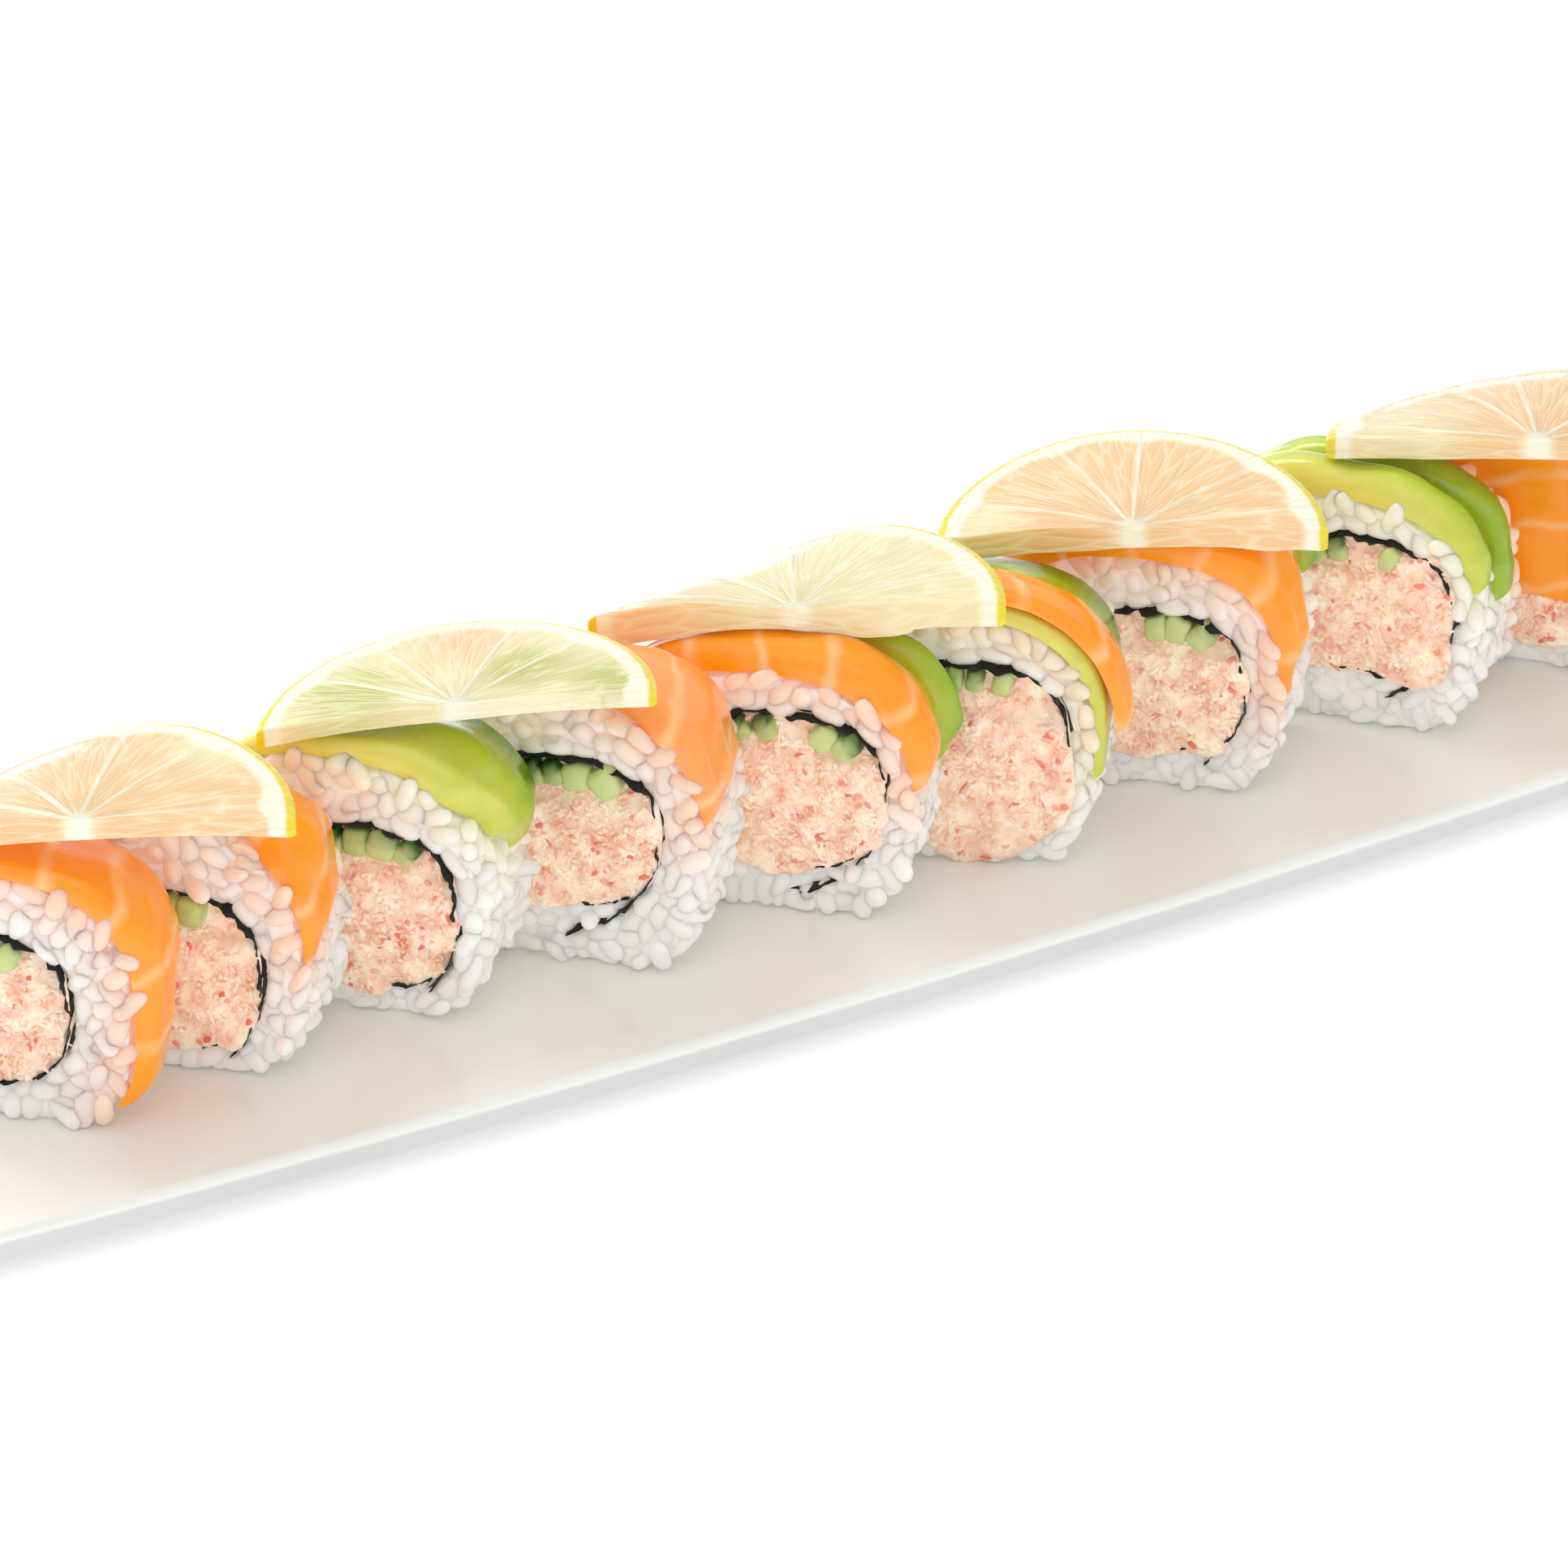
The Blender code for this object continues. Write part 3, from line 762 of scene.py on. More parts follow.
def base_blob(name: str, segments: int, rings: int) -> tuple[np.ndarray, np.ndarray]:
    """The points and triangles of a ball, the start of each scattered piece.

    Args:
        name: A name for the ball while it is made.
        segments: Faces round it.
        rings: Rows of faces.

    Returns:
        Points on a ball of radius 1, and triangles.
    """
    bpy.ops.object.select_all(action="DESELECT")
    bpy.ops.mesh.primitive_uv_sphere_add(
        segments=segments, ring_count=rings, radius=1.0, rotation=(0, math.pi / 2, 0)
    )
    made = bpy.context.object
    made.name = name
    bpy.ops.object.transform_apply(location=True, rotation=True, scale=True)
    with editing(made):
        bpy.ops.mesh.quads_convert_to_tris()
    points = read_points(made.data)
    faces = np.array([polygon.vertices[:] for polygon in made.data.polygons])
    bpy.data.objects.remove(made)
    return points, faces


def finish_piece(
    made: bpy.types.Object, material: bpy.types.Material, nodes: tuple[str, ...]
) -> bpy.types.Object:
    """Dresses a piece, lets it ride on the dish and stand for its solids.

    Args:
        made: The piece.
        material: Its material.
        nodes: The solids that it stands for.

    Returns:
        The piece.
    """
    made.data.materials.clear()
    made.data.materials.append(material)
    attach(made, "root")
    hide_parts(*nodes)
    LOG.info("%s: %d faces", made.name, len(made.data.polygons))
    return made


# ---------------------------------------------------------------------------
# The slices' shared shape
# ---------------------------------------------------------------------------


@dataclass(frozen=True)
class RollSlice:
    """One slice's place, turn, rice size and filling, in millimetres and degrees, as the solids have them."""

    number: int
    x: float
    y: float
    turn: float
    width: float
    height: float
    length: float
    core_width: float
    core_height: float
    core_shift: float
    core_lift: float
    sticks: tuple[tuple[float, float, float, float], ...]

    def frame(self) -> Matrix:
        """The slice's own frame: +X across it, +Y from its cut face to its back, +Z up.

        Returns:
            The frame in the dish's frame.
        """
        place = Matrix.Translation((self.x * MM, self.y * MM, PLATE_TOP + GAP))
        return place @ Matrix.Rotation(math.radians(self.turn - 90), 4, "Z")

    def to_world(self, points: np.ndarray) -> np.ndarray:
        """Moves rows of points from the slice's frame to the dish's.

        Args:
            points: An array of shape (count, 3), in metres.

        Returns:
            The moved array.
        """
        matrix = np.array(self.frame())
        return points @ matrix[:3, :3].T + matrix[:3, 3]

    def to_local(self, points: np.ndarray) -> np.ndarray:
        """Moves rows of points from the dish's frame to the slice's.

        Args:
            points: An array of shape (count, 3), in metres.

        Returns:
            The moved array.
        """
        matrix = np.array(self.frame().inverted())
        return points @ matrix[:3, :3].T + matrix[:3, 3]

    def outline(self, degrees: np.ndarray, share: np.ndarray) -> np.ndarray:
        """Points (across, up) of the rice outline, in metres.

        Args:
            degrees: Angles round the outline.
            share: Shares of the way from the cut face to the back, where the top has sagged on its left.

        Returns:
            An array of shape (count, 2).
        """
        turn = np.radians(degrees)
        cosine, sine = np.cos(turn), np.sin(turn)
        power = np.where(sine >= 0, 2.5, 3.4)
        middle = self.height / 2
        drop = np.where(sine < 0, middle + 1.0, middle)
        across = self.width / 2 * np.sign(cosine) * np.abs(cosine) ** (2 / power)
        up = middle + drop * np.sign(sine) * np.abs(sine) ** (2 / power)
        sag = 6.0 * share * np.maximum(0.0, sine) * (1 - cosine) / 2
        return np.stack([across, np.maximum(up, 0.0) - sag], axis=-1) * MM

    def outward(self, degrees: np.ndarray) -> np.ndarray:
        """Unit directions (across, up) straight out of the outline.

        Args:
            degrees: Angles round the outline.

        Returns:
            An array of shape (count, 2).
        """
        zero = np.zeros_like(degrees)
        ahead = self.outline(degrees + 1.5, zero) - self.outline(degrees - 1.5, zero)
        ahead /= np.linalg.norm(ahead, axis=-1, keepdims=True)
        return np.stack([ahead[..., 1], -ahead[..., 0]], axis=-1)

    def core_middle(self) -> np.ndarray:
        """The middle of the filling.

        Returns:
            Across and up in the slice's frame, in metres.
        """
        return np.array([self.core_shift, self.height / 2 + self.core_lift]) * MM

    def core_radius(self, turn: np.ndarray) -> np.ndarray:
        """The nori's distance from the middle of the filling, in metres.

        Args:
            turn: Angles in radians.

        Returns:
            The distances.
        """
        wide = np.abs(np.cos(turn)) / (self.core_width / 2 * MM)
        tall = np.abs(np.sin(turn)) / (self.core_height / 2 * MM)
        return (wide**2.7 + tall**2.7) ** (-1 / 2.7)

    def outside_core(self, local: np.ndarray) -> np.ndarray:
        """How far points lie outside the nori's ring, in metres.

        Args:
            local: Rows of points in the slice's frame.

        Returns:
            Distances, negative inside.
        """
        flat = local[:, [0, 2]] - self.core_middle()
        turn = np.arctan2(flat[:, 1], flat[:, 0])
        return np.linalg.norm(flat, axis=1) - self.core_radius(turn)


SLICES = (
    RollSlice(1, -124.4, 0.4, 46.5, 43.0, 37.0, 17.2, 25.0, 22.4, 0.0, -1.7,
              ((130, 3.6, 0.35, 0.9), (110, 3.4, 0.5, 0.2), (88, 4.0, 0.4, 0.9), (64, 3.4, 0.2, 0.2))),
    RollSlice(2, -96.3, 0.8, 44.5, 41.0, 36.5, 19.5, 25.0, 24.0, 2.0, -2.8,
              ((132, 3.6, 0.9, 0.8), (114, 4.0, 1.0, 0.1), (94, 4.2, 0.8, 0.0), (74, 3.8, 0.5, 0.0))),
    RollSlice(3, -66.8, 2.7, 40.5, 42.0, 38.6, 20.3, 28.0, 25.0, 3.8, -2.9,
              ((134, 3.6, 0.3, 1.0), (114, 3.2, 0.5, 1.0), (95, 4.0, 0.5, 0.4), (73, 4.4, 0.2, 0.5),
               (54, 3.4, 0.2, 0.9))),
    RollSlice(4, -34.7, -0.8, 43.5, 42.5, 40.0, 20.6, 27.5, 22.5, 1.6, 0.6,
              ((136, 3.0, 0.3, 1.0), (119, 3.2, 0.4, 1.0), (100, 3.0, 0.4, 1.0), (79, 4.6, 0.2, 0.1),
               (54, 4.8, 0.1, 0.0))),
    RollSlice(5, -3.2, -3.5, 45.5, 43.0, 37.0, 18.8, 28.6, 23.8, 3.8, 0.9,
              ((128, 2.8, 0.4, 0.9), (110, 3.0, 0.6, 0.9), (60, 3.8, 0.2, 0.1), (43, 3.8, 0.3, 0.8))),
    RollSlice(6, 27.7, -2.6, 49.5, 42.0, 38.5, 22.0, 27.6, 28.6, 4.0, -2.4,
              ((104, 2.8, 0.7, 0.2), (90, 2.8, 0.5, 0.8), (72, 3.0, 0.3, 0.0))),
    RollSlice(7, 64.0, 1.7, 44.5, 41.5, 37.0, 23.0, 26.5, 22.5, 3.0, -1.4,
              ((92, 3.4, 0.2, 0.1), (72, 4.0, 0.1, 0.0), (51, 3.8, 0.2, 0.3))),
    RollSlice(8, 99.9, 2.6, 37.5, 44.0, 36.0, 21.4, 28.4, 21.8, 4.9, 1.3,
              ((135, 3.0, 0.5, 1.0), (117, 3.0, 0.3, 0.8), (66, 2.8, 0.2, 0.0))),
    RollSlice(9, 135.4, 2.0, 41.5, 41.0, 37.0, 22.5, 27.0, 24.0, 2.0, -1.5,
              ((130, 3.4, 0.5, 0.9), (110, 3.6, 0.3, 0.2), (88, 3.8, 0.4, 0.1), (66, 3.6, 0.2, 0.8))),
)


# ---------------------------------------------------------------------------
# The pieces
# ---------------------------------------------------------------------------


@dataclass(frozen=True)
class LongPlate:
    """The porcelain plate, with its solid's edges rounded. Sizes are in millimetres."""

    edge: float = 0.9
    steps: int = 4

    def build(self, frame: dict, finish: GlazedPorcelain) -> bpy.types.Object:
        """Builds and dresses the plate.

        Args:
            finish: The porcelain's look.

        Returns:
            The piece.
        """
        made = node_copy(frame["nodes"]["plate"], "glazed_plate")
        with editing(made):
            bpy.ops.mesh.dissolve_limited(angle_limit=math.radians(0.6))
        apply_modifier(
            made,
            "round",
            "BEVEL",
            width=self.edge * MM,
            segments=self.steps,
            limit_method="ANGLE",
            angle_limit=math.radians(12),
            use_clamp_overlap=True,
        )
        select_only(made)
        bpy.ops.object.shade_smooth_by_angle(angle=math.radians(40))
        apply_modifier(made, "even", "WEIGHTED_NORMAL", keep_sharp=True, weight=80)
        return finish_piece(made, finish.material(), ("plate",))


@dataclass(frozen=True)
class RiceBed:
    """One slice's rice: a soft core with separate grains lying all over it. Sizes are in millimetres."""

    piece: RollSlice
    grain_length: float = 6.0
    grain_width: float = 2.85
    spacing: float = 2.35
    sunk: float = 0.3
    face_length: float = 0.92
    most: int = 560
    tries: int = 9000
    drawn_in: float = 0.3
    headroom: float = 4.5

    def core(self, node: bpy.types.Object) -> bpy.types.Object:
        """Makes the rice between and behind the grains.

        Args:
            node: The slice's rice solid.

        Returns:
            The core.
        """
        made = node_copy(node, f"rice_core_{self.piece.number}")
        apply_modifier(made, "draw in", "DISPLACE", strength=-self.drawn_in * MM, mid_level=0.0)
        local = self.piece.to_local(read_points(made.data))
        tight = self.piece.outside_core(local) < 0.5 * MM
        local[tight, 1] *= 0.97
        write_points(made.data, self.piece.to_world(local))
        select_only(made)
        bpy.ops.object.shade_smooth()
        return made

    def surface_places(
        self, node: bpy.types.Object, draw: np.random.Generator
    ) -> tuple[np.ndarray, np.ndarray]:
        """Draws evenly spread places on the outside of the rice.

        Args:
            node: The slice's rice solid.
            draw: The seeded source of chance.

        Returns:
            Places and outward directions in the slice's frame.
        """
        points = self.piece.to_local(read_points(node.data))
        corners = np.array([polygon.vertices[:] for polygon in node.data.polygons])
        a, b, c = points[corners[:, 0]], points[corners[:, 1]], points[corners[:, 2]]
        cross = np.cross(b - a, c - a)
        area = np.linalg.norm(cross, axis=1)
        way = cross / np.maximum(area, 1e-12)[:, None]
        pick = draw.choice(len(area), size=self.tries, p=area / area.sum())
        first, second = draw.random((2, self.tries))
        flip = first + second > 1
        first[flip], second[flip] = 1 - first[flip], 1 - second[flip]
        place = a[pick] + first[:, None] * (b - a)[pick] + second[:, None] * (c - a)[pick]
        normal = way[pick].copy()
        half = self.piece.length * MM / 2
        on_face = np.abs(normal[:, 1]) > 0.6
        near_core = self.piece.outside_core(place) < 0.9 * MM
        keep = ~(near_core & ~on_face)
        keep &= ~((normal[:, 2] < -0.5) & (place[:, 2] < 2 * MM) & (np.abs(place[:, 1]) < half - 3 * MM))
        normal[on_face] = np.sign(normal[on_face, 1:2]) * np.array([0.0, 1.0, 0.0])
        return place[keep], normal[keep]

    def lay_grains(
        self, node: bpy.types.Object, lids: BVHTree, nori: BVHTree, draw: np.random.Generator
    ) -> tuple:
        """Lays grains where there is room and nothing covers them.

        Args:
            node: The slice's rice solid.
            lids: What lies on the rice.
            nori: The slice's nori.
            draw: The seeded source of chance.

        Returns:
            Middles, long directions, outward directions and sizes of the grains, in the slice's frame.
        """
        places, normals = self.surface_places(node, draw)
        frame = self.piece.frame()
        laid: list[np.ndarray] = []
        rows: list[tuple[np.ndarray, np.ndarray, np.ndarray, np.ndarray]] = []
        for place, normal in zip(places, normals):
            if len(laid) >= self.most:
                break
            if laid and np.min(np.sum((np.array(laid) - place) ** 2, axis=1)) < (self.spacing * MM) ** 2:
                continue
            start = frame @ Vector(place - normal * 1.2 * MM)
            way = frame.to_3x3() @ Vector(normal)
            if lids.ray_cast(start, way, self.headroom * MM)[0]:
                continue
            cut = self.face_length if abs(normal[1]) > 0.9 else 1.0
            size = np.array(
                [
                    self.grain_length * cut * draw.uniform(0.76, 1.16),
                    self.grain_width * draw.uniform(0.86, 1.12),
                    self.grain_width * draw.uniform(0.74, 0.98),
                ]
            ) * (MM / 2)
            side = np.cross(normal, draw.normal(size=3))
            side /= np.linalg.norm(side)
            along = side + normal * draw.uniform(-0.6, 0.6)
            along /= np.linalg.norm(along)
            middle = place - normal * size[2] * self.sunk * draw.uniform(-0.5, 2.0)
            if not self.has_room(middle, along, size, nori):
                along = self.along_core(middle, normal)
                if not self.has_room(middle, along, size, nori):
                    continue
            laid.append(place)
            rows.append((middle, along, normal, size))
        return tuple(np.array(column) for column in zip(*rows))

    def along_core(self, middle: np.ndarray, normal: np.ndarray) -> np.ndarray:
        """The direction that follows the nori past a grain.

        Args:
            middle: The grain's middle.
            normal: The way out of the rice there.

        Returns:
            A unit direction.
        """
        flat = middle[[0, 2]] - self.piece.core_middle()
        way = np.cross(normal, np.array([flat[0], 0.0, flat[1]]))
        return way / max(np.linalg.norm(way), 1e-9)

    def has_room(self, middle: np.ndarray, along: np.ndarray, size: np.ndarray, nori: BVHTree) -> bool:
        """Whether a grain clears the nori.

        Args:
            middle: The grain's middle.
            along: Its long direction.
            size: Its half sizes.
            nori: The slice's nori.

        Returns:
            True if it does.
        """
        frame = self.piece.frame()
        tests = np.array([middle + along * size[0] * reach for reach in (-0.75, 0.0, 0.75)])
        if np.any(self.piece.outside_core(tests) < 0.15 * size[1]):
            return False
        return all((nori.find_nearest(frame @ Vector(test))[3] or 0.0) > 0.3 * size[1] for test in tests)

    def grains(
        self,
        node: bpy.types.Object,
        lids: BVHTree,
        nori: BVHTree,
        tints: dict[Cover, BVHTree],
        ball: tuple[np.ndarray, np.ndarray],
        draw: np.random.Generator,
    ) -> bpy.types.Object:
        """Makes the grains as one mesh.

        Args:
            node: The slice's rice solid.
            lids: What lies on the rice.
            nori: The slice's nori.
            tints: The fish and the fruit, whose painted light tints grains near them.
            ball: The points and triangles that each grain starts from.
            draw: The seeded source of chance.

        Returns:
            The grains.
        """
        middles, alongs, normals, sizes = self.lay_grains(node, lids, nori, draw)
        points, faces = ball
        count = len(middles)
        blunt = points.copy()
        slim = np.sqrt(np.clip(1 - points[:, 0] ** 2, 1e-9, None))
        full = np.clip(1 - np.abs(points[:, 0]) ** 2.9, 0.0, None) ** (1 / 2.2)
        blunt[:, 1:] *= (full / slim)[:, None]
        shape = np.repeat(blunt[None], count, axis=0)
        bend = draw.uniform(-0.22, 0.22, size=(count, 1))
        taper = draw.uniform(-0.16, 0.16, size=(count, 1))
        shape[:, :, 1] = shape[:, :, 1] * (1 + taper * shape[:, :, 0]) + bend * (shape[:, :, 0] ** 2 - 0.4)
        shape[:, :, 2] = shape[:, :, 2] * (1 + 0.6 * taper * shape[:, :, 0])
        shape *= sizes[:, None, :]
        across = np.cross(normals, alongs)
        across /= np.linalg.norm(across, axis=1, keepdims=True)
        up = np.cross(alongs, across)
        placed = (
            shape[:, :, 0:1] * alongs[:, None]
            + shape[:, :, 1:2] * across[:, None]
            + shape[:, :, 2:3] * up[:, None]
            + middles[:, None]
        )
        lowest = placed[:, :, 2].min(axis=1)
        placed[:, :, 2] += np.maximum(0.0, -GAP + 0.05 * MM - lowest)[:, None]
        every = (faces[None] + (np.arange(count) * len(points))[:, None, None]).reshape(-1, 3)
        world = self.piece.to_world(placed.reshape(-1, 3))
        made = joined_mesh(f"rice_grains_{self.piece.number}", world, every)
        write_value(made.data, "tone", np.repeat(draw.random(count), len(points)))
        self.write_tints(made.data, self.piece.to_world(middles), tints, len(points))
        return made

    @staticmethod
    def write_tints(
        mesh: bpy.types.Mesh, middles: np.ndarray, tints: dict[Cover, BVHTree], repeat: int
    ) -> None:
        """Stores how much painted light in the colours of the fish and the fruit each place gets.

        Args:
            mesh: The rice's mesh.
            middles: Places in the dish's frame.
            tints: The fish and the fruit.
            repeat: How many vertices in a row share a place.
        """
        for cover, name, strength, reach in (
            (Cover.SALMON, "warm", 0.75, 5.5 * MM),
            (Cover.AVOCADO, "lime", 0.7, 4.0 * MM),
        ):
            away = np.array([tints[cover].find_nearest(Vector(middle))[3] or 0.0 for middle in middles])
            value = strength * np.exp(-((np.maximum(away - 0.5 * MM, 0.0) / reach) ** 1.5))
            write_value(mesh, name, np.repeat(value, repeat))

    def build(
        self, frame: dict, lids: BVHTree, tints: dict[Cover, BVHTree], ball: tuple, materials: tuple
    ) -> list[bpy.types.Object]:
        """Builds and dresses the slice's rice.

        Args:
            lids: What lies on the rice.
            tints: The fish and the fruit.
            ball: What each grain starts from.
            materials: The grains' and the core's materials.

        Returns:
            The pieces.
        """
        number = self.piece.number
        draw = np.random.default_rng(100 + number)
        node = frame["nodes"][f"rice_{number}"]
        nori = solid_tree([frame["nodes"][f"nori_{number}"]])
        grains = self.grains(node, lids, nori, tints, ball, draw)
        core = self.core(node)
        write_value(core.data, "tone", np.full(len(core.data.vertices), 0.6))
        self.write_tints(core.data, read_points(core.data), tints, 1)
        finish_piece(grains, materials[0], (node.name,))
        finish_piece(core, materials[1], (node.name,))
        return [grains, core]


@dataclass(frozen=True)
class NoriWrap:
    """One slice's nori: the solid's sheet, finer and wrinkled, with ragged cut edges, in millimetres."""

    piece: RollSlice
    wrinkle: float = 0.55
    ragged: float = 1.7
    thinned: float = 0.2
    wave: float = 3.2

    def build(self, frame: dict, material: bpy.types.Material) -> bpy.types.Object:
        """Builds and dresses the nori.

        Args:
            material: The nori's material.

        Returns:
            The piece.
        """
        number = self.piece.number
        made = node_copy(frame["nodes"][f"nori_{number}"], f"nori_wrap_{number}")
        apply_modifier(made, "draw in", "DISPLACE", strength=-self.thinned * MM, mid_level=0.0)
        with editing(made):
            bpy.ops.mesh.subdivide(number_cuts=5)
        local = self.piece.to_local(read_points(made.data))
        half = self.piece.length * MM / 2
        flat = local[:, [0, 2]] - self.piece.core_middle()
        way = flat / np.linalg.norm(flat, axis=1, keepdims=True)
        for i, point in enumerate(local):
            here = Vector(point) / (self.wave * MM) + Vector((number * 7.3, 0, 0))
            wave = (noise.noise(here) + 0.45 * noise.noise(here * 2.9)) * self.wrinkle * MM
            local[i, 0] += way[i, 0] * wave
            local[i, 2] += way[i, 1] * wave
            if abs(point[1]) > half - 0.2 * MM:
                tear = noise.noise(here * 1.6 + Vector((0, 40, 0))) + 0.5 * noise.noise(here * 4.1)
                local[i, 1] += math.copysign((tear - 0.35) * self.ragged * MM, point[1])
        write_points(made.data, self.piece.to_world(local))
        select_only(made)
        bpy.ops.object.shade_smooth_by_angle(angle=math.radians(50))
        return finish_piece(made, material, (f"nori_{number}",))


# Where the salad spills over the nori on the cut face: slice, then angle, reach and half width of each spill,
# in degrees and millimetres.
CRAB_SPILLS: dict[int, tuple[tuple[float, float, float], ...]] = {
    1: ((-120.0, 0.8, 25.0),),
    2: ((-112.0, 1.2, 28.0), (-48.0, 1.0, 14.0)),
    3: ((-150.0, 0.9, 25.0), (-85.0, 1.0, 16.0)),
    4: ((-122.0, 1.4, 32.0), (10.0, 0.7, 18.0)),
    5: ((-100.0, 1.4, 26.0), (-20.0, 0.9, 14.0)),
    6: ((-88.0, 2.8, 30.0), (-25.0, 1.3, 26.0), (200.0, 1.0, 34.0)),
    7: ((-115.0, 1.4, 34.0), (-48.0, 1.1, 13.0), (5.0, 0.7, 14.0)),
    8: ((-42.0, 2.4, 20.0), (38.0, 1.3, 18.0), (-132.0, 1.3, 18.0)),
    9: ((-90.0, 1.2, 34.0),),
}


@dataclass(frozen=True)
class CrabFilling:
    """One slice's crab salad: a craggy body, with crumbs and shreds on both cut ends, in millimetres."""

    piece: RollSlice
    bulge: float = 1.1
    crag: float = 1.15
    crumbs: int = 760
    shreds: int = 150
    margin: float = 0.12
    hollow: float = 1.6
    hollow_from: float = 0.38
    hollow_ease: float = 0.12

    def spill(self, turn: np.ndarray) -> np.ndarray:
        """How far the salad spills over the nori on the cut face.

        Args:
            turn: Angles round the core, in radians.

        Returns:
            Millimetres at each angle.
        """
        found = np.zeros_like(turn)
        for angle, reach, width in CRAB_SPILLS[self.piece.number]:
            away = (np.degrees(turn) - angle + 180.0) % 360.0 - 180.0
            found = np.maximum(found, reach * np.exp(-((away / width) ** 2)))
        return found

    def body(self) -> bpy.types.Object:
        """Makes the craggy body, as wide as the nori leaves it and hollowed where the cucumber lies.

        Returns:
            The body.
        """
        columns, rings, rows = 132, 30, 10
        turn = np.arange(columns) / columns * 2 * math.pi
        limit = self.piece.core_radius(turn)
        half = self.piece.length * MM / 2
        spill = self.spill(turn)
        shares = (np.arange(rings + 1) / rings) ** 0.9
        sections = [(-1.0, share) for share in shares]
        sections += [(-1.0 + 2.0 * row / rows, 1.0) for row in range(1, rows)]
        sections += [(1.0, share) for share in shares[::-1]]
        places = np.empty((len(sections), columns, 3))
        for i, (side, share) in enumerate(sections):
            at_end = abs(side) > 0.99
            spread = share * (limit - self.margin * MM)
            up = np.sin(turn) * spread / (self.piece.core_height * MM / 2)
            sunk = self.hollow * np.clip((up - self.hollow_from) / self.hollow_ease, 0.0, 1.0)
            proud = self.bulge * (1 - share**3) - sunk
            if side < -0.99:
                spread = spread + spill * share**3 * MM
                proud = proud + 1.5 * np.clip(spill, 0.0, 1.0) * share
            for j in range(columns):
                x, z = math.cos(turn[j]) * spread[j], math.sin(turn[j]) * spread[j]
                here = Vector((x, side * half, z)) + Vector((self.piece.number * 0.05, 0, 0))
                coarse = noise.noise(here / (2.6 * MM))
                fine = noise.noise(here / (1.1 * MM))
                push = (proud[j] + (0.8 * coarse + 0.45 * fine) * self.crag) * MM if at_end else 0.0
                flare = 1 + 0.012 * coarse + (0.02 if at_end and share > 0.9 else 0.0)
                places[i, j] = (x * flare, side * (half + push), z * flare)
        places[:, :, [0, 2]] += self.piece.core_middle()
        points = places.reshape(-1, 3)
        index = np.arange(len(points)).reshape(len(sections), columns)
        after = np.roll(index, -1, axis=1)
        a, b, c, d = index[:-1], index[1:], after[1:], after[:-1]
        faces = np.concatenate([np.stack(corners, -1).reshape(-1, 3) for corners in ((a, b, c), (a, c, d))])
        made = joined_mesh(f"crab_mix_{self.piece.number}", self.piece.to_world(points), faces)
        with editing(made):
            bpy.ops.mesh.remove_doubles(threshold=0.00001)
            bpy.ops.mesh.normals_make_consistent(inside=False)
        write_value(made.data, "tone", np.zeros(len(made.data.vertices)))
        return made

    def places(
        self, body: bpy.types.Object, count: int, draw: np.random.Generator
    ) -> tuple[np.ndarray, np.ndarray]:
        """Draws places on the body's two ends, most of them on the cut face.

        Args:
            body: The craggy body.
            count: How many places.
            draw: The seeded source of chance.

        Returns:
            Places in the slice's frame, and which end each is on, -1 for the cut face.
        """
        tree = solid_tree([body])
        frame = self.piece.frame()
        turned = frame.to_3x3()
        found: list[np.ndarray] = []
        sides: list[float] = []
        while len(found) < count:
            turn = draw.uniform(0, 2 * math.pi)
            share = math.sqrt(draw.random()) * 0.97
            if math.sin(turn) > 0.5 and share > 0.66 and draw.random() < 0.7:
                continue
            radius = (float(self.piece.core_radius(np.array([turn]))[0]) - 0.3 * MM) * share
            side = -1.0 if draw.random() < 0.72 else 1.0
            if side < 0:
                radius += float(self.spill(np.array([turn]))[0]) * share**3 * MM
            flat = self.piece.core_middle() + radius * np.array([math.cos(turn), math.sin(turn)])
            start = frame @ Vector((flat[0], side * (self.piece.length / 2 + 6) * MM, flat[1]))
            hit = tree.ray_cast(start, turned @ Vector((0, -side, 0)), 9 * MM)[0]
            if hit is None:
                continue
            found.append(np.array(frame.inverted() @ hit))
            sides.append(side)
        return np.array(found), np.array(sides)

    def scatter(
        self, name: str, body: bpy.types.Object, ball: tuple, count: int, long: tuple, thick: tuple,
        draw: np.random.Generator
    ) -> bpy.types.Object:
        """Makes one mesh of small pieces that lie on the ends.

        Args:
            name: The object's name.
            body: The craggy body.
            ball: The points and triangles that each piece starts from.
            count: How many pieces.
            long: The least and greatest half length.
            thick: The least and greatest half thickness.
            draw: The seeded source of chance.

        Returns:
            The pieces as one object.
        """
        points, faces = ball
        middle, side = self.places(body, count, draw)
        spin = draw.uniform(0, math.pi, count)
        along = np.stack([np.cos(spin), draw.uniform(-0.5, 0.5, count), np.sin(spin)], axis=1)
        along /= np.linalg.norm(along, axis=1, keepdims=True)
        across = np.cross(along, np.array([0.0, 1.0, 0.0]))
        across /= np.linalg.norm(across, axis=1, keepdims=True)
        up = np.cross(along, across)
        half_long = draw.uniform(*long, count) * MM
        half_thick = draw.uniform(*thick, count) * MM
        lumps = 1 + draw.uniform(-0.22, 0.22, (count, len(points), 1))
        shape = np.repeat(points[None], count, axis=0) * lumps
        curl = draw.uniform(-0.9, 0.9, (count, 1))
        x = shape[:, :, 0]
        middle[:, 1] += side * draw.uniform(-0.15, 0.5, count) * MM
        placed = (
            (x * half_long[:, None])[..., None] * along[:, None]
            + (shape[:, :, 1] * half_thick[:, None] + curl * x**2 * 0.35 * half_long[:, None])[..., None]
            * across[:, None]
            + (shape[:, :, 2] * half_thick[:, None])[..., None] * up[:, None]
            + middle[:, None]
        )
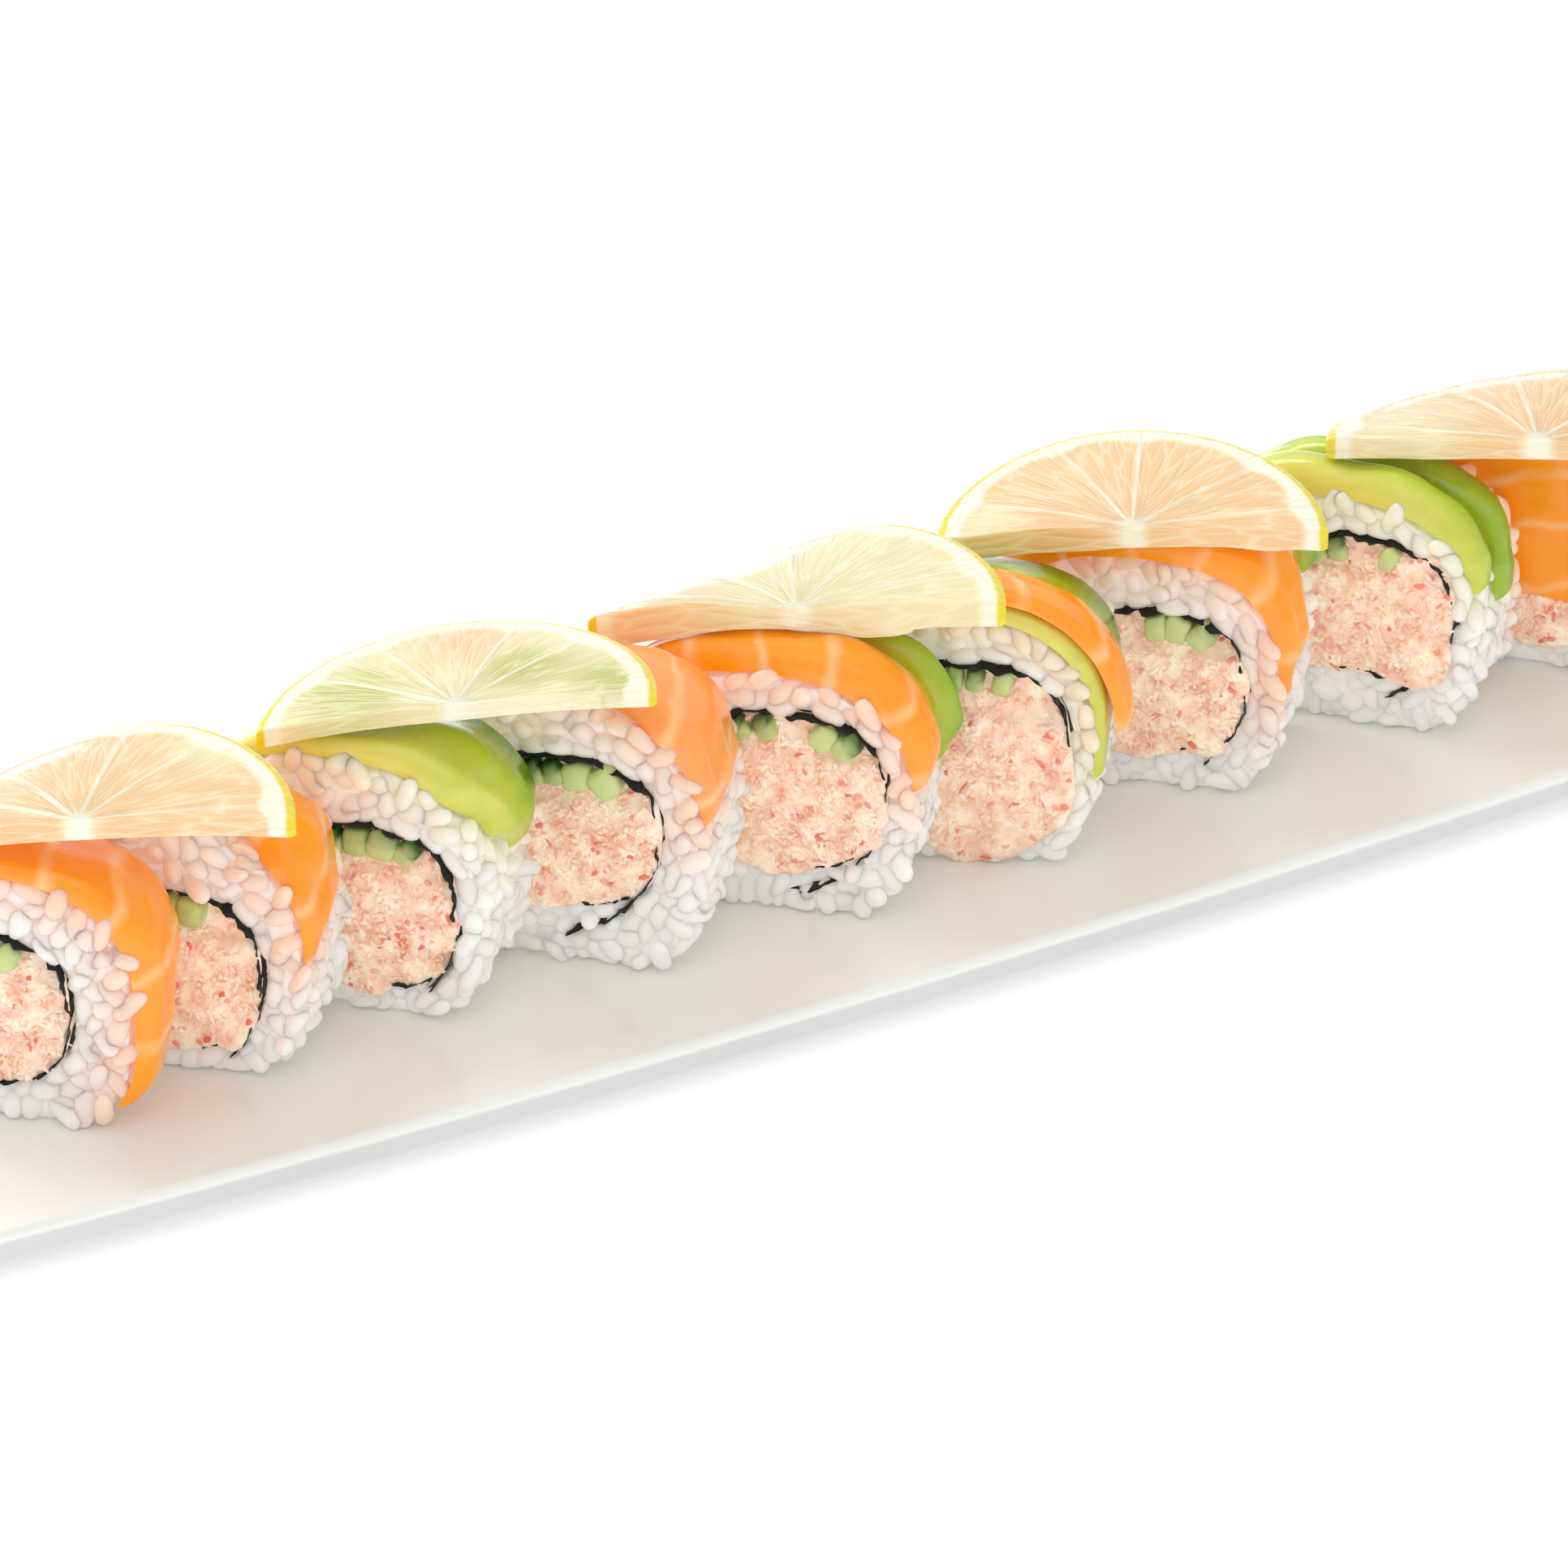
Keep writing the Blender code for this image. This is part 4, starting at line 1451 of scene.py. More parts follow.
        every = (faces[None] + (np.arange(count) * len(points))[:, None, None]).reshape(-1, 3)
        made = joined_mesh(name, self.piece.to_world(placed.reshape(-1, 3)), every)
        rich = np.array([noise.noise(Vector(row) / (4.0 * MM)) for row in middle])
        chance = 0.03 + 0.42 * np.clip(rich, 0.0, 1.0)
        tone = np.where(draw.random(count) < chance, draw.uniform(0.25, 0.85, count), 0.0)
        write_value(made.data, "tone", np.repeat(tone, len(points)))
        return made

    def build(self, frame: dict, ball: tuple, material: bpy.types.Material) -> list[bpy.types.Object]:
        """Builds and dresses the slice's crab salad.

        Args:
            ball: What each crumb and shred starts from.
            material: The crab salad's material.

        Returns:
            The pieces.
        """
        number = self.piece.number
        draw = np.random.default_rng(200 + number)
        node = frame["nodes"][f"crab_salad_{number}"]
        body = self.body()
        crumbs = self.scatter(
            f"crab_crumbs_{number}", body, ball, self.crumbs, (0.4, 0.95), (0.26, 0.5), draw
        )
        shreds = self.scatter(
            f"crab_shreds_{number}", body, ball, self.shreds, (0.9, 1.9), (0.16, 0.3), draw
        )
        return [finish_piece(made, material, (node.name,)) for made in (body, crumbs, shreds)]


@dataclass(frozen=True)
class CucumberSticks:
    """One slice's cucumber sticks, side by side under the top of the nori. Sizes are in millimetres."""

    piece: RollSlice
    rows: int = 10

    def stick(self, angle: float, size: float, draw: np.random.Generator) -> tuple[np.ndarray, np.ndarray]:
        """The points of one stick and how much skin they have.

        Args:
            angle: Where it lies round the filling, in degrees.
            size: Its width.
            draw: The seeded source of chance.

        Returns:
            Points in the slice's frame as rows of rings, and the skin's share at each.
        """
        turn = math.radians(angle)
        reach = float(self.piece.core_radius(np.array([turn]))[0]) - 0.45 * MM
        depth = min(4.4, size * 1.35) * MM
        middle = self.piece.core_middle() + np.array([math.cos(turn), math.sin(turn)]) * (reach - depth / 2)
        spin = turn - math.pi / 2 + draw.uniform(-0.25, 0.25)
        half = self.piece.length * MM / 2
        sides = 16
        ring_turn = np.arange(sides) / sides * 2 * math.pi
        square = (np.abs(np.cos(ring_turn)) ** 5 + np.abs(np.sin(ring_turn)) ** 5) ** (-1 / 5)
        outline = np.stack([np.cos(ring_turn) * size * MM, np.sin(ring_turn) * depth], axis=1)
        outline *= square[:, None] / 2
        outline *= 1 + draw.uniform(-0.07, 0.07, (sides, 1))
        turned = np.array([[math.cos(spin), -math.sin(spin)], [math.sin(spin), math.cos(spin)]])
        rings = []
        skins = []
        overhang = draw.uniform(0.7, 1.6, 2) * MM
        for row in range(self.rows + 1):
            share = row / self.rows
            y = -half - overhang[0] + share * (2 * half + overhang[0] + overhang[1])
            scale = 0.97 if row in (0, self.rows) else 1.0
            flat = outline * scale @ turned.T + middle
            flat += draw.uniform(-0.1, 0.1, 2) * MM
            rings.append(np.stack([flat[:, 0], np.full(sides, y), flat[:, 1]], axis=1))
            skins.append(np.clip((np.sin(ring_turn) + 0.1) / 0.4, 0.0, 1.0))
        return np.array(rings), np.array(skins)

    def build(self, material: bpy.types.Material) -> bpy.types.Object:
        """Builds and dresses the slice's cucumber.

        Args:
            material: The cucumber's material.

        Returns:
            The piece.
        """
        number = self.piece.number
        draw = np.random.default_rng(300 + number)
        points: list[np.ndarray] = []
        faces: list[tuple[int, ...]] = []
        skin: list[np.ndarray] = []
        tone: list[np.ndarray] = []
        start = 0
        for angle, size, shade, rind in self.piece.sticks:
            rings, skins = self.stick(angle, size, draw)
            count, sides = rings.shape[:2]
            for row in range(count - 1):
                for i in range(sides):
                    j = (i + 1) % sides
                    a, b = start + row * sides, start + (row + 1) * sides
                    faces.append((a + i, a + j, b + j))
                    faces.append((a + i, b + j, b + i))
            ends = rings[[0, -1]].mean(axis=1)
            hub = start + count * sides
            for i in range(sides):
                j = (i + 1) % sides
                faces.append((start + j, start + i, hub))
                last = start + (count - 1) * sides
                faces.append((last + i, last + j, hub + 1))
            points += [rings.reshape(-1, 3), ends]
            skin += [skins.ravel() * rind, np.full(2, 0.4 * max(0.0, rind - 0.3))]
            tone.append(np.full(count * sides + 2, shade))
            start = hub + 2
        world = self.piece.to_world(np.concatenate(points))
        made = joined_mesh(f"cucumber_sticks_{number}", world, np.array(faces))
        write_value(made.data, "skin", np.concatenate(skin))
        write_value(made.data, "tone", np.concatenate(tone))
        with editing(made):
            bpy.ops.mesh.normals_make_consistent(inside=False)
        apply_modifier(made, "smooth", "SUBSURF", levels=1, render_levels=1)
        return finish_piece(made, material, (f"cucumber_{number}",))


def eased(stations: tuple, share: np.ndarray) -> np.ndarray:
    """Reads a strip's front, back and thickness between its stations.

    Args:
        stations: Rows of (share of the way, front share, back share, thickness).
        share: Shares of the way.

    Returns:
        An array of shape (3, count).
    """
    table = np.array(stations)
    place = np.clip(np.searchsorted(table[:, 0], share, side="left"), 1, len(table) - 1)
    part = (share - table[place - 1, 0]) / (table[place, 0] - table[place - 1, 0])
    part = part * part * (3 - 2 * part)
    return (table[place - 1, 1:] + (table[place, 1:] - table[place - 1, 1:]) * part[:, None]).T


def pillow(distance: np.ndarray, radius: np.ndarray | float) -> np.ndarray:
    """How high a rounded edge stands at a distance in from it, from 0 at the edge to 1.

    Args:
        distance: Distances from the edge.
        radius: The rounding's radius.

    Returns:
        Shares of the full height.
    """
    part = 1 - np.clip(distance / radius, 0.0, 1.0)
    return np.sqrt(np.clip(1 - part * part, 0.0, 1.0))


def closed_sheet(name: str, under: np.ndarray, over: np.ndarray) -> bpy.types.Object:
    """Makes one closed smooth sheet between two grids of points.

    Args:
        name: The object's name.
        under: The lower grid, of shape (rows, columns, 3).
        over: The upper grid, of the same shape.

    Returns:
        The object. Its vertices are the lower grid's and then the upper grid's.
    """
    rows, columns = under.shape[:2]
    index = np.arange(rows * columns).reshape(rows, columns)
    a, b, c, d = index[:-1, :-1], index[1:, :-1], index[1:, 1:], index[:-1, 1:]
    top = rows * columns
    faces = [
        np.stack([a, c, b], axis=-1).reshape(-1, 3),
        np.stack([a, d, c], axis=-1).reshape(-1, 3),
        np.stack([a, b, c], axis=-1).reshape(-1, 3) + top,
        np.stack([a, c, d], axis=-1).reshape(-1, 3) + top,
    ]
    loop = np.concatenate([index[0, :-1], index[:-1, -1], index[-1, :0:-1], index[:0:-1, 0]])
    after = np.roll(loop, -1)
    faces.append(np.stack([loop, after, after + top], axis=-1))
    faces.append(np.stack([loop, after + top, loop + top], axis=-1))
    points = np.concatenate([under.reshape(-1, 3), over.reshape(-1, 3)])
    made = joined_mesh(name, points, np.concatenate(faces))
    with editing(made):
        bpy.ops.mesh.normals_make_consistent(inside=False)
    return made


@dataclass(frozen=True)
class DrapedStrip:
    """One strip of salmon or avocado over a slice, as the solids have it, in shares and millimetres."""

    node: str
    cover: Cover
    slice_number: int
    from_angle: float
    to_angle: float
    lift: float
    stations: tuple
    yellow_front: bool = True
    blush: float = 0.0
    ripple_share: float = 0.14
    frayed: float = 0.45

    def grids(self, draw_number: int) -> tuple[np.ndarray, np.ndarray, np.ndarray, np.ndarray]:
        """Works out the strip's lower and upper surface.

        Args:
            draw_number: Shifts the noise so that no two strips wave alike.

        Returns:
            Lower and upper grids in the dish's frame, and each place's way round and across, in millimetres.
        """
        piece = SLICES[self.slice_number - 1]
        ways = 0.5 - 0.5 * np.cos(np.linspace(0.06, math.pi - 0.06, 72))
        ways = (ways - ways[0]) / (ways[-1] - ways[0])
        sides = 0.5 - 0.5 * np.cos(np.linspace(0.0, math.pi, 30))
        front, back, thick = eased(self.stations, ways)
        degrees = self.from_angle + (self.to_angle - self.from_angle) * ways
        span = (back - front) * piece.length
        mid_line = piece.outline(degrees, 0.5 * np.ones_like(degrees)) / MM
        run = np.concatenate([[0.0], np.cumsum(np.linalg.norm(np.diff(mid_line, axis=0), axis=1))])
        outward = piece.outward(degrees)
        under = np.empty((len(ways), len(sides), 3))
        over = np.empty_like(under)
        for j, side in enumerate(sides):
            along = front + (back - front) * side
            base = piece.outline(degrees, along)
            crown = np.interp(side, (0.0, 0.5, 1.0), (0.85, 1.0, 0.55))
            edge = np.minimum(side, 1 - side) * np.maximum(span, 0.5)
            ends = np.minimum(run, run[-1] - run)
            height = thick * crown * pillow(edge, 0.55 * thick) * pillow(ends, 1.6)
            ripple = np.array(
                [
                    noise.noise(Vector((draw_number * 9.1, way / 7.0, spot * piece.length / 6.0)))
                    for way, spot in zip(run, along)
                ]
            )
            height = height * (1 + self.ripple_share * ripple)
            lower = base + outward * (GAP + self.lift * MM)
            upper = lower + outward * (height * MM)[:, None]
            fray = np.array([noise.noise(Vector((draw_number * 5.7, r / 4.0, side * 2.0))) for r in run])
            position = ((along - 0.5) * piece.length + self.frayed * fray) * MM
            under[:, j] = np.stack([lower[:, 0], position, lower[:, 1]], axis=1)
            over[:, j] = np.stack([upper[:, 0], position, upper[:, 1]], axis=1)
        shape = under.shape
        under = piece.to_world(under.reshape(-1, 3)).reshape(shape)
        over = piece.to_world(over.reshape(-1, 3)).reshape(shape)
        round_way = np.repeat(run[:, None], len(sides), axis=1)
        side_way = sides[None, :] * np.maximum(span, 0.5)[:, None]
        return under, over, round_way, side_way

    def build(self, materials: dict[Cover, bpy.types.Material], number: int) -> bpy.types.Object:
        """Builds and dresses the strip.

        Args:
            materials: The salmon's and the avocado's materials.
            number: The strip's place in the list.

        Returns:
            The piece.
        """
        under, over, round_way, side_way = self.grids(number)
        made = closed_sheet(f"{self.node}_strip", under, over)
        places = np.stack([round_way.ravel(), side_way.ravel()], axis=1) / 10
        write_map(made.data, "strip", np.concatenate([places, places]))
        share = side_way / np.maximum(side_way.max(axis=1, keepdims=True), 1e-6)
        if not self.yellow_front:
            share = 0.35 + 0.65 * share
        reach = round_way / round_way.max()
        depth = np.clip(0.78 * share + 0.34 * reach**2 - 0.06, 0.0, 1.0)
        write_value(made.data, "depth", np.concatenate([depth.ravel() * 0.7, depth.ravel()]))
        write_value(made.data, "blush", np.full(len(made.data.vertices), self.blush))
        apply_modifier(made, "smooth", "SUBSURF", levels=1, render_levels=1)
        return finish_piece(made, materials[self.cover], (self.node,))


FULL = (0.0, 1.0)
STRIPS = (
    DrapedStrip("salmon_1", Cover.SALMON, 1, 166, -40, 0.0,
                ((0.0, *FULL, 2.0), (0.4, *FULL, 3.2), (0.72, 0.0, 0.96, 4.4), (0.88, 0.0, 0.62, 3.2),
                 (1.0, 0.0, 0.2, 1.2))),
    DrapedStrip("salmon_2", Cover.SALMON, 2, 122, 0, 0.0,
                ((0.0, 0.5, 1.0, 2.0), (0.4, 0.3, 1.0, 3.8), (0.66, 0.05, 1.0, 4.0), (0.86, 0.0, 0.76, 2.8),
                 (1.0, 0.02, 0.24, 1.0))),
    DrapedStrip("avocado_3", Cover.AVOCADO, 3, 152, 6, 0.0,
                ((0.0, *FULL, 2.4), (0.35, *FULL, 3.4), (0.72, 0.0, 1.0, 5.4), (0.88, 0.24, 1.0, 4.6),
                 (1.0, 0.56, 0.84, 1.8))),
    DrapedStrip("salmon_4", Cover.SALMON, 4, 112, 6, 0.0,
                ((0.0, 0.42, 1.0, 3.4), (0.35, 0.14, 1.0, 5.2), (0.6, 0.0, 1.0, 5.2), (0.85, 0.0, 0.82, 3.6),
                 (1.0, 0.04, 0.28, 1.4)), blush=0.8),
    DrapedStrip("salmon_5", Cover.SALMON, 5, 166, 4, 0.0,
                ((0.0, 0.0, 0.95, 4.6), (0.4, 0.0, 0.76, 5.2), (0.7, 0.0, 0.66, 5.4), (0.9, 0.0, 0.6, 4.2),
                 (1.0, 0.04, 0.34, 2.0))),
    DrapedStrip("avocado_5", Cover.AVOCADO, 5, 96, 0, 0.0,
                ((0.0, 0.77, 1.0, 2.6), (0.5, 0.71, 1.0, 5.0), (0.85, 0.7, 1.0, 4.4), (1.0, 0.76, 0.98, 1.4)),
                False),
    DrapedStrip("avocado_6", Cover.AVOCADO, 6, 160, -6, 0.0,
                ((0.0, *FULL, 3.6), (0.35, *FULL, 2.8), (0.68, *FULL, 2.8), (0.86, 0.0, 0.98, 2.6),
                 (1.0, 0.02, 0.22, 1.4))),
    DrapedStrip("salmon_6", Cover.SALMON, 6, 104, 4, 3.1,
                ((0.0, 0.0, 0.44, 1.6), (0.3, 0.0, 0.46, 2.4), (0.75, 0.0, 0.44, 2.4),
                 (1.0, 0.02, 0.42, 2.0))),
    DrapedStrip("salmon_7", Cover.SALMON, 7, 172, -2, 0.0,
                ((0.0, -0.1, 0.95, 4.4), (0.4, -0.1, 0.86, 4.8), (0.72, -0.03, 0.84, 5.2),
                 (0.9, 0.0, 0.5, 3.8), (1.0, 0.02, 0.2, 1.6))),
    DrapedStrip("avocado_7", Cover.AVOCADO, 7, 84, 20, 0.0,
                ((0.0, 0.91, 1.0, 2.4), (0.5, 0.88, 1.0, 4.6), (0.85, 0.88, 1.0, 4.0), (1.0, 0.9, 1.0, 1.6)),
                False),
    DrapedStrip("avocado_8_front", Cover.AVOCADO, 8, 160, 14, 0.0,
                ((0.0, 0.0, 0.6, 3.0), (0.35, 0.0, 0.52, 4.8), (0.7, 0.0, 0.42, 4.8), (0.9, 0.0, 0.34, 3.4),
                 (1.0, 0.03, 0.26, 2.0))),
    DrapedStrip("avocado_8_back", Cover.AVOCADO, 8, 140, 2, 0.0,
                ((0.0, 0.64, 1.0, 3.0), (0.3, 0.55, 1.0, 4.4), (0.7, 0.46, 0.86, 3.8), (0.9, 0.38, 0.7, 3.0),
                 (1.0, 0.38, 0.62, 2.2)), False),
)


@dataclass(frozen=True)
class HangingSalmon:
    """The salmon on the last slice: it lies along its top and hangs over its cut face, in millimetres."""

    from_angle: float = 152.0
    to_angle: float = 58.0
    fall: float = 25.0
    thickness: float = 2.6
    clear: float = 1.2
    fold: float = 1.6

    def build(self, material: bpy.types.Material) -> bpy.types.Object:
        """Builds and dresses the hanging strip.

        Args:
            material: The salmon's material.

        Returns:
            The piece.
        """
        piece = SLICES[8]
        half = piece.length / 2
        top_way = np.linspace(half, -half - self.clear + self.fold, 26)
        bend = np.linspace(0, math.pi / 2, 8)[1:-1]
        drop = np.linspace(0, self.fall, 34)[1:]
        rows: list[tuple[float, float, float]] = [(way, 0.0, 0.0) for way in top_way]
        for turn in bend:
            reach = -half - self.clear + self.fold * (1 - math.sin(turn))
            rows.append((reach, self.fold * (1 - math.cos(turn)), turn))
        rows += [(-half - self.clear, self.fold * 0.6 + fall, math.pi / 2) for fall in drop]
        sides = 0.5 - 0.5 * np.cos(np.linspace(0.0, math.pi, 34))
        under = np.empty((len(rows), len(sides), 3))
        over = np.empty_like(under)
        length = 0.0
        places = np.empty((len(rows), len(sides), 2))
        for i, (position, fall, turn) in enumerate(rows):
            share = min(1.0, fall / self.fall)
            spread = self.to_angle - self.from_angle
            middle = self.from_angle + spread * (0.45 + 0.2 * share)
            angles = self.from_angle + spread * sides
            angles = angles + (middle - angles) * 0.45 * share
            along = np.full(len(sides), min(max(position / piece.length + 0.5, 0.0), 1.0))
            base = piece.outline(angles, along) + piece.outward(angles) * 2.5 * GAP
            width = 0.5 * abs(spread) * math.radians(1) * piece.width / 2
            edge = np.minimum(sides, 1 - sides) * 2 * width
            end = min(1.0, pillow(np.array([self.fall + self.fold * 0.6 - fall]), 2.0)[0]) if fall else 1.0
            thick = self.thickness * (1.0 - 0.35 * share) * pillow(edge, 1.6) * end
            ripple = np.array([noise.noise(Vector((3.0, i / 5.0, s * 3.0))) for s in sides])
            thick = thick * (1 + 0.25 * ripple)
            lower = np.stack([base[:, 0], np.full(len(sides), position * MM), base[:, 1] - fall * MM], axis=1)
            push = np.stack([np.zeros(len(sides)), -np.sin(turn) * thick, np.cos(turn) * thick], axis=1) * MM
            under[i], over[i] = lower, lower + push
            if i:
                length += float(np.linalg.norm(under[i, 15] - under[i - 1, 15])) / MM
            places[i] = np.stack([np.full(len(sides), length), sides * 2 * width], axis=1) / 10
        shape = under.shape
        under = piece.to_world(under.reshape(-1, 3)).reshape(shape)
        over = piece.to_world(over.reshape(-1, 3)).reshape(shape)
        made = closed_sheet("salmon_9_strip", under, over)
        flat = places.reshape(-1, 2)
        write_map(made.data, "strip", np.concatenate([flat, flat]))
        write_value(made.data, "blush", np.zeros(len(made.data.vertices)))
        apply_modifier(made, "smooth", "SUBSURF", levels=1, render_levels=1)
        return finish_piece(made, material, ("salmon_9",))


@dataclass(frozen=True)
class HalfLemon:
    """One half slice of lemon, in millimetres and degrees, as the solids have it."""

    number: int
    x: float
    y: float
    turn: float
    radius: float
    first_web: float = 20.0
    through: Cover = Cover.SALMON
    patches: tuple[tuple[float, float, float, Cover], ...] = ()
    sag: float = 0.0
    free_sag: float = 0.55
    clearance: float = 0.6
    slack: float = 0.2
    web_width: float = 0.34
    ring_from: float = 0.868
    sunk: float = 0.3
    rind_round: float = 0.5

    def settled(self, low: np.ndarray, plan: np.ndarray, rest: BVHTree) -> np.ndarray:
        """Lets the soft underside sag towards what it rests on.

        Args:
            low: Heights of the underside.
            plan: Plan positions, of shape (rows, columns, 2), in metres.
            rest: What it can rest on.

        Returns:
            The new heights.
        """
        drop = np.full(low.shape, self.free_sag * self.sag * MM)
        for place in np.ndindex(low.shape):
            start = Vector((*plan[place], low[place]))
            gap = rest.ray_cast(start, Vector((0, 0, -1)), 9 * MM)[3]
            if gap is not None:
                drop[place] = min(max(gap - self.clearance * MM, 0.0), self.sag * MM)
        return low - np.minimum(self.softened(drop), drop + self.slack * MM)

    def heights(self, node: bpy.types.Object, plan: np.ndarray) -> tuple[np.ndarray, np.ndarray]:
        """Reads the solid's lower and upper surface.

        Args:
            node: The lemon's solid.
            plan: Plan positions, of shape (rows, columns, 2), in metres.

        Returns:
            Lower and upper heights.
        """
        tree = solid_tree([node])
        centre = np.array([self.x, self.y]) * MM
        flat = plan.reshape(-1, 2)
        found = np.empty((len(flat), 2))
        for i, place in enumerate(flat):
            for shrink in (1.0, 0.995, 0.98, 0.95, 0.9, 0.8, 0.6):
                x, y = centre + (place - centre) * shrink + self.inward() * (1 - shrink) * 4 * MM
                low = tree.ray_cast(Vector((x, y, 0.0)), Vector((0, 0, 1)))[0]
                high = tree.ray_cast(Vector((x, y, 0.2)), Vector((0, 0, -1)))[0]
                if low and high:
                    found[i] = (low.z, high.z)
                    break
        low = found[:, 0].reshape(plan.shape[:2])
        high = found[:, 1].reshape(plan.shape[:2])
        return self.softened(low), self.softened(high)

    def inward(self) -> np.ndarray:
        """The way from the straight cut to the rind, in plan.

        Returns:
            A unit direction along X and Y.
        """
        turn = math.radians(self.turn + 90)
        return np.array([math.cos(turn), math.sin(turn)])

    @staticmethod
    def softened(height: np.ndarray) -> np.ndarray:
        """Smooths heights round the slice, so that no facet of the solid shows.

        Args:
            height: Heights over the polar grid, tip to tip by hub to rind.

        Returns:
            The smoothed heights.
        """
        smooth = height.copy()
        for _ in range(30):
            smooth[1:-1] = 0.25 * smooth[:-2] + 0.5 * smooth[1:-1] + 0.25 * smooth[2:]
        for _ in range(8):
            smooth[:, 1:-1] = 0.25 * smooth[:, :-2] + 0.5 * smooth[:, 1:-1] + 0.25 * smooth[:, 2:]
        smooth[:, 0] = smooth[:, 0].mean()
        return smooth

    def webs(self, theta: np.ndarray, share: np.ndarray) -> np.ndarray:
        """How much of each place is web or pith: the walls between segments, the hub and the white ring.

        Args:
            theta: Angles round the slice, in radians.
            share: Shares of the radius.

        Returns:
            Shares from 0, flesh, to 1, pith.
        """
        found = np.zeros_like(theta)
        corner = np.zeros_like(theta)
        for k in range(-1, 7):
            wall = math.radians(self.first_web + 36 * k + 5 * math.sin(3.1 * k + self.number))
            away = np.abs(theta - wall) * share * self.radius
            found = np.maximum(found, np.exp(-((away / self.web_width) ** 2)) * 0.75)
            corner = np.maximum(corner, np.exp(-(((theta - wall) / 0.11) ** 2)))
        # The white ring reaches in a little where a wall meets it.
        inner = self.ring_from - 0.05 * corner
        ring = np.clip((share - inner) / 0.025, 0.0, 1.0)
        hub = np.clip((0.085 - share) / 0.03, 0.0, 1.0)
        return np.maximum(np.maximum(found, ring), hub)

    def tints(self, angle: np.ndarray, share: np.ndarray) -> np.ndarray:
        """The painted colour of the light that comes up through the flesh from what lies below it.

        Args:
            angle: Angles round the slice, in radians.
            share: Shares of the radius.

        Returns:
            Linear colours, of shape (rows, columns, 4).
        """
        looks = {
            Cover.SALMON: np.array(srgb("#F7CA94")),
            Cover.AVOCADO: np.array(srgb("#C3C76A")),
            Cover.RICE: np.array(srgb("#F0E2B0")),
        }
        along = -np.cos(angle) * share * self.radius
        back = np.sin(angle) * share * self.radius
        colours = np.broadcast_to(looks[self.through], (*angle.shape, 4)).copy()
        for x, y, reach, cover in self.patches:
            amount = np.exp(-((((along - x) ** 2 + (back - y) ** 2) / reach**2) ** 1.5))[..., None]
            colours = colours * (1 - amount) + looks[cover] * amount
        return colours

    def build(self, frame: dict, rest: BVHTree, material: bpy.types.Material) -> bpy.types.Object:
        """Builds and dresses the half slice.

        Args:
            rest: What it can rest on.
            material: The lemon's material.

        Returns:
            The piece.
        """
        node = frame["nodes"][f"lemon_{self.number}"]
        theta = np.linspace(0.0, math.pi, 121)
        share = np.linspace(0.0, 1.0, 44) ** 0.85
        along = -np.cos(theta)[:, None] * share[None] * self.radius * MM
        back = np.maximum(np.sin(theta)[:, None], 0.0) * share[None] * self.radius * MM
        back = np.maximum(back, 0.9 * MM * share[None] * (np.abs(np.cos(theta)) > 0.9995)[:, None])
        turn = math.radians(self.turn)
        plan = np.stack(
            [
                self.x * MM + along * math.cos(turn) - back * math.sin(turn),
                self.y * MM + along * math.sin(turn) + back * math.cos(turn),
            ],
            axis=-1,
        )
        low, high = self.heights(node, plan)
        if self.sag:
            low = self.settled(low, plan, rest)
        angle = np.repeat(theta[:, None], len(share), axis=1)
        reach = np.repeat(share[None], len(theta), axis=0)
        web = self.webs(angle, reach)
        sunk = (1 - web) * self.sunk * MM
        rind = np.clip((reach - 0.965) / 0.035, 0.0, 1.0) ** 2 * self.rind_round * MM
        under = np.concatenate([plan, (low + rind)[..., None]], axis=-1)
        over = np.concatenate([plan, (high - sunk - rind)[..., None]], axis=-1)
        made = closed_sheet(f"lemon_slice_{self.number}", under, over)
        length = 0.7 * self.radius * angle / 10
        places = np.stack([length.ravel(), (reach * self.radius / 10).ravel()], axis=1)
        below = length.copy()
        below[0] -= 0.3
        below[-1] += 0.3
        lower_places = np.stack([below.ravel(), places[:, 1]], axis=1)
        write_map(made.data, "polar", np.concatenate([lower_places, places]))
        write_value(made.data, "web", np.concatenate([web.ravel(), web.ravel()]))
        rim = np.clip((reach - 0.90) / 0.10, 0.0, 1.0)
        write_value(made.data, "rim", np.concatenate([rim.ravel(), rim.ravel()]))
        # Painted light from what lies below, stored for the flesh to show.
        flat = self.tints(angle, reach).reshape(-1, 4)
        write_colour(made.data, "under", np.concatenate([flat, flat]))
        with editing(made):
            bpy.ops.mesh.remove_doubles(threshold=0.00002)
        bpy.ops.object.shade_smooth_by_angle(angle=math.radians(40))
        return finish_piece(made, material, (f"lemon_{self.number}",))


LEMONS = (
    HalfLemon(1, -120.0, -17.6, -31, 29.0, 24.0, Cover.SALMON, ((17, 18, 6, Cover.RICE),)),
    HalfLemon(
        2, -61.0, -14.6, -31, 27.6, 30.0, Cover.RICE,
        ((-15, 7, 8, Cover.AVOCADO), (9, 10, 6.5, Cover.AVOCADO), (21, 5, 6, Cover.AVOCADO),
         (0, 20, 7, Cover.SALMON)),
    ),
    HalfLemon(3, -3.4, -9.0, -32, 29.5, 12.0, Cover.RICE, ((-19, 8, 9, Cover.SALMON),), 2.6),
    HalfLemon(4, 52.0, -10.3, -30.5, 28.2, 26.0, Cover.SALMON, ((-21, 4, 5, Cover.RICE),), 1.0),
    HalfLemon(5, 117.5, -18.0, -31.0, 31.0, 18.0, Cover.SALMON, ((-20, 3, 10, Cover.RICE),)),
)


# ---------------------------------------------------------------------------
# The studio
# ---------------------------------------------------------------------------


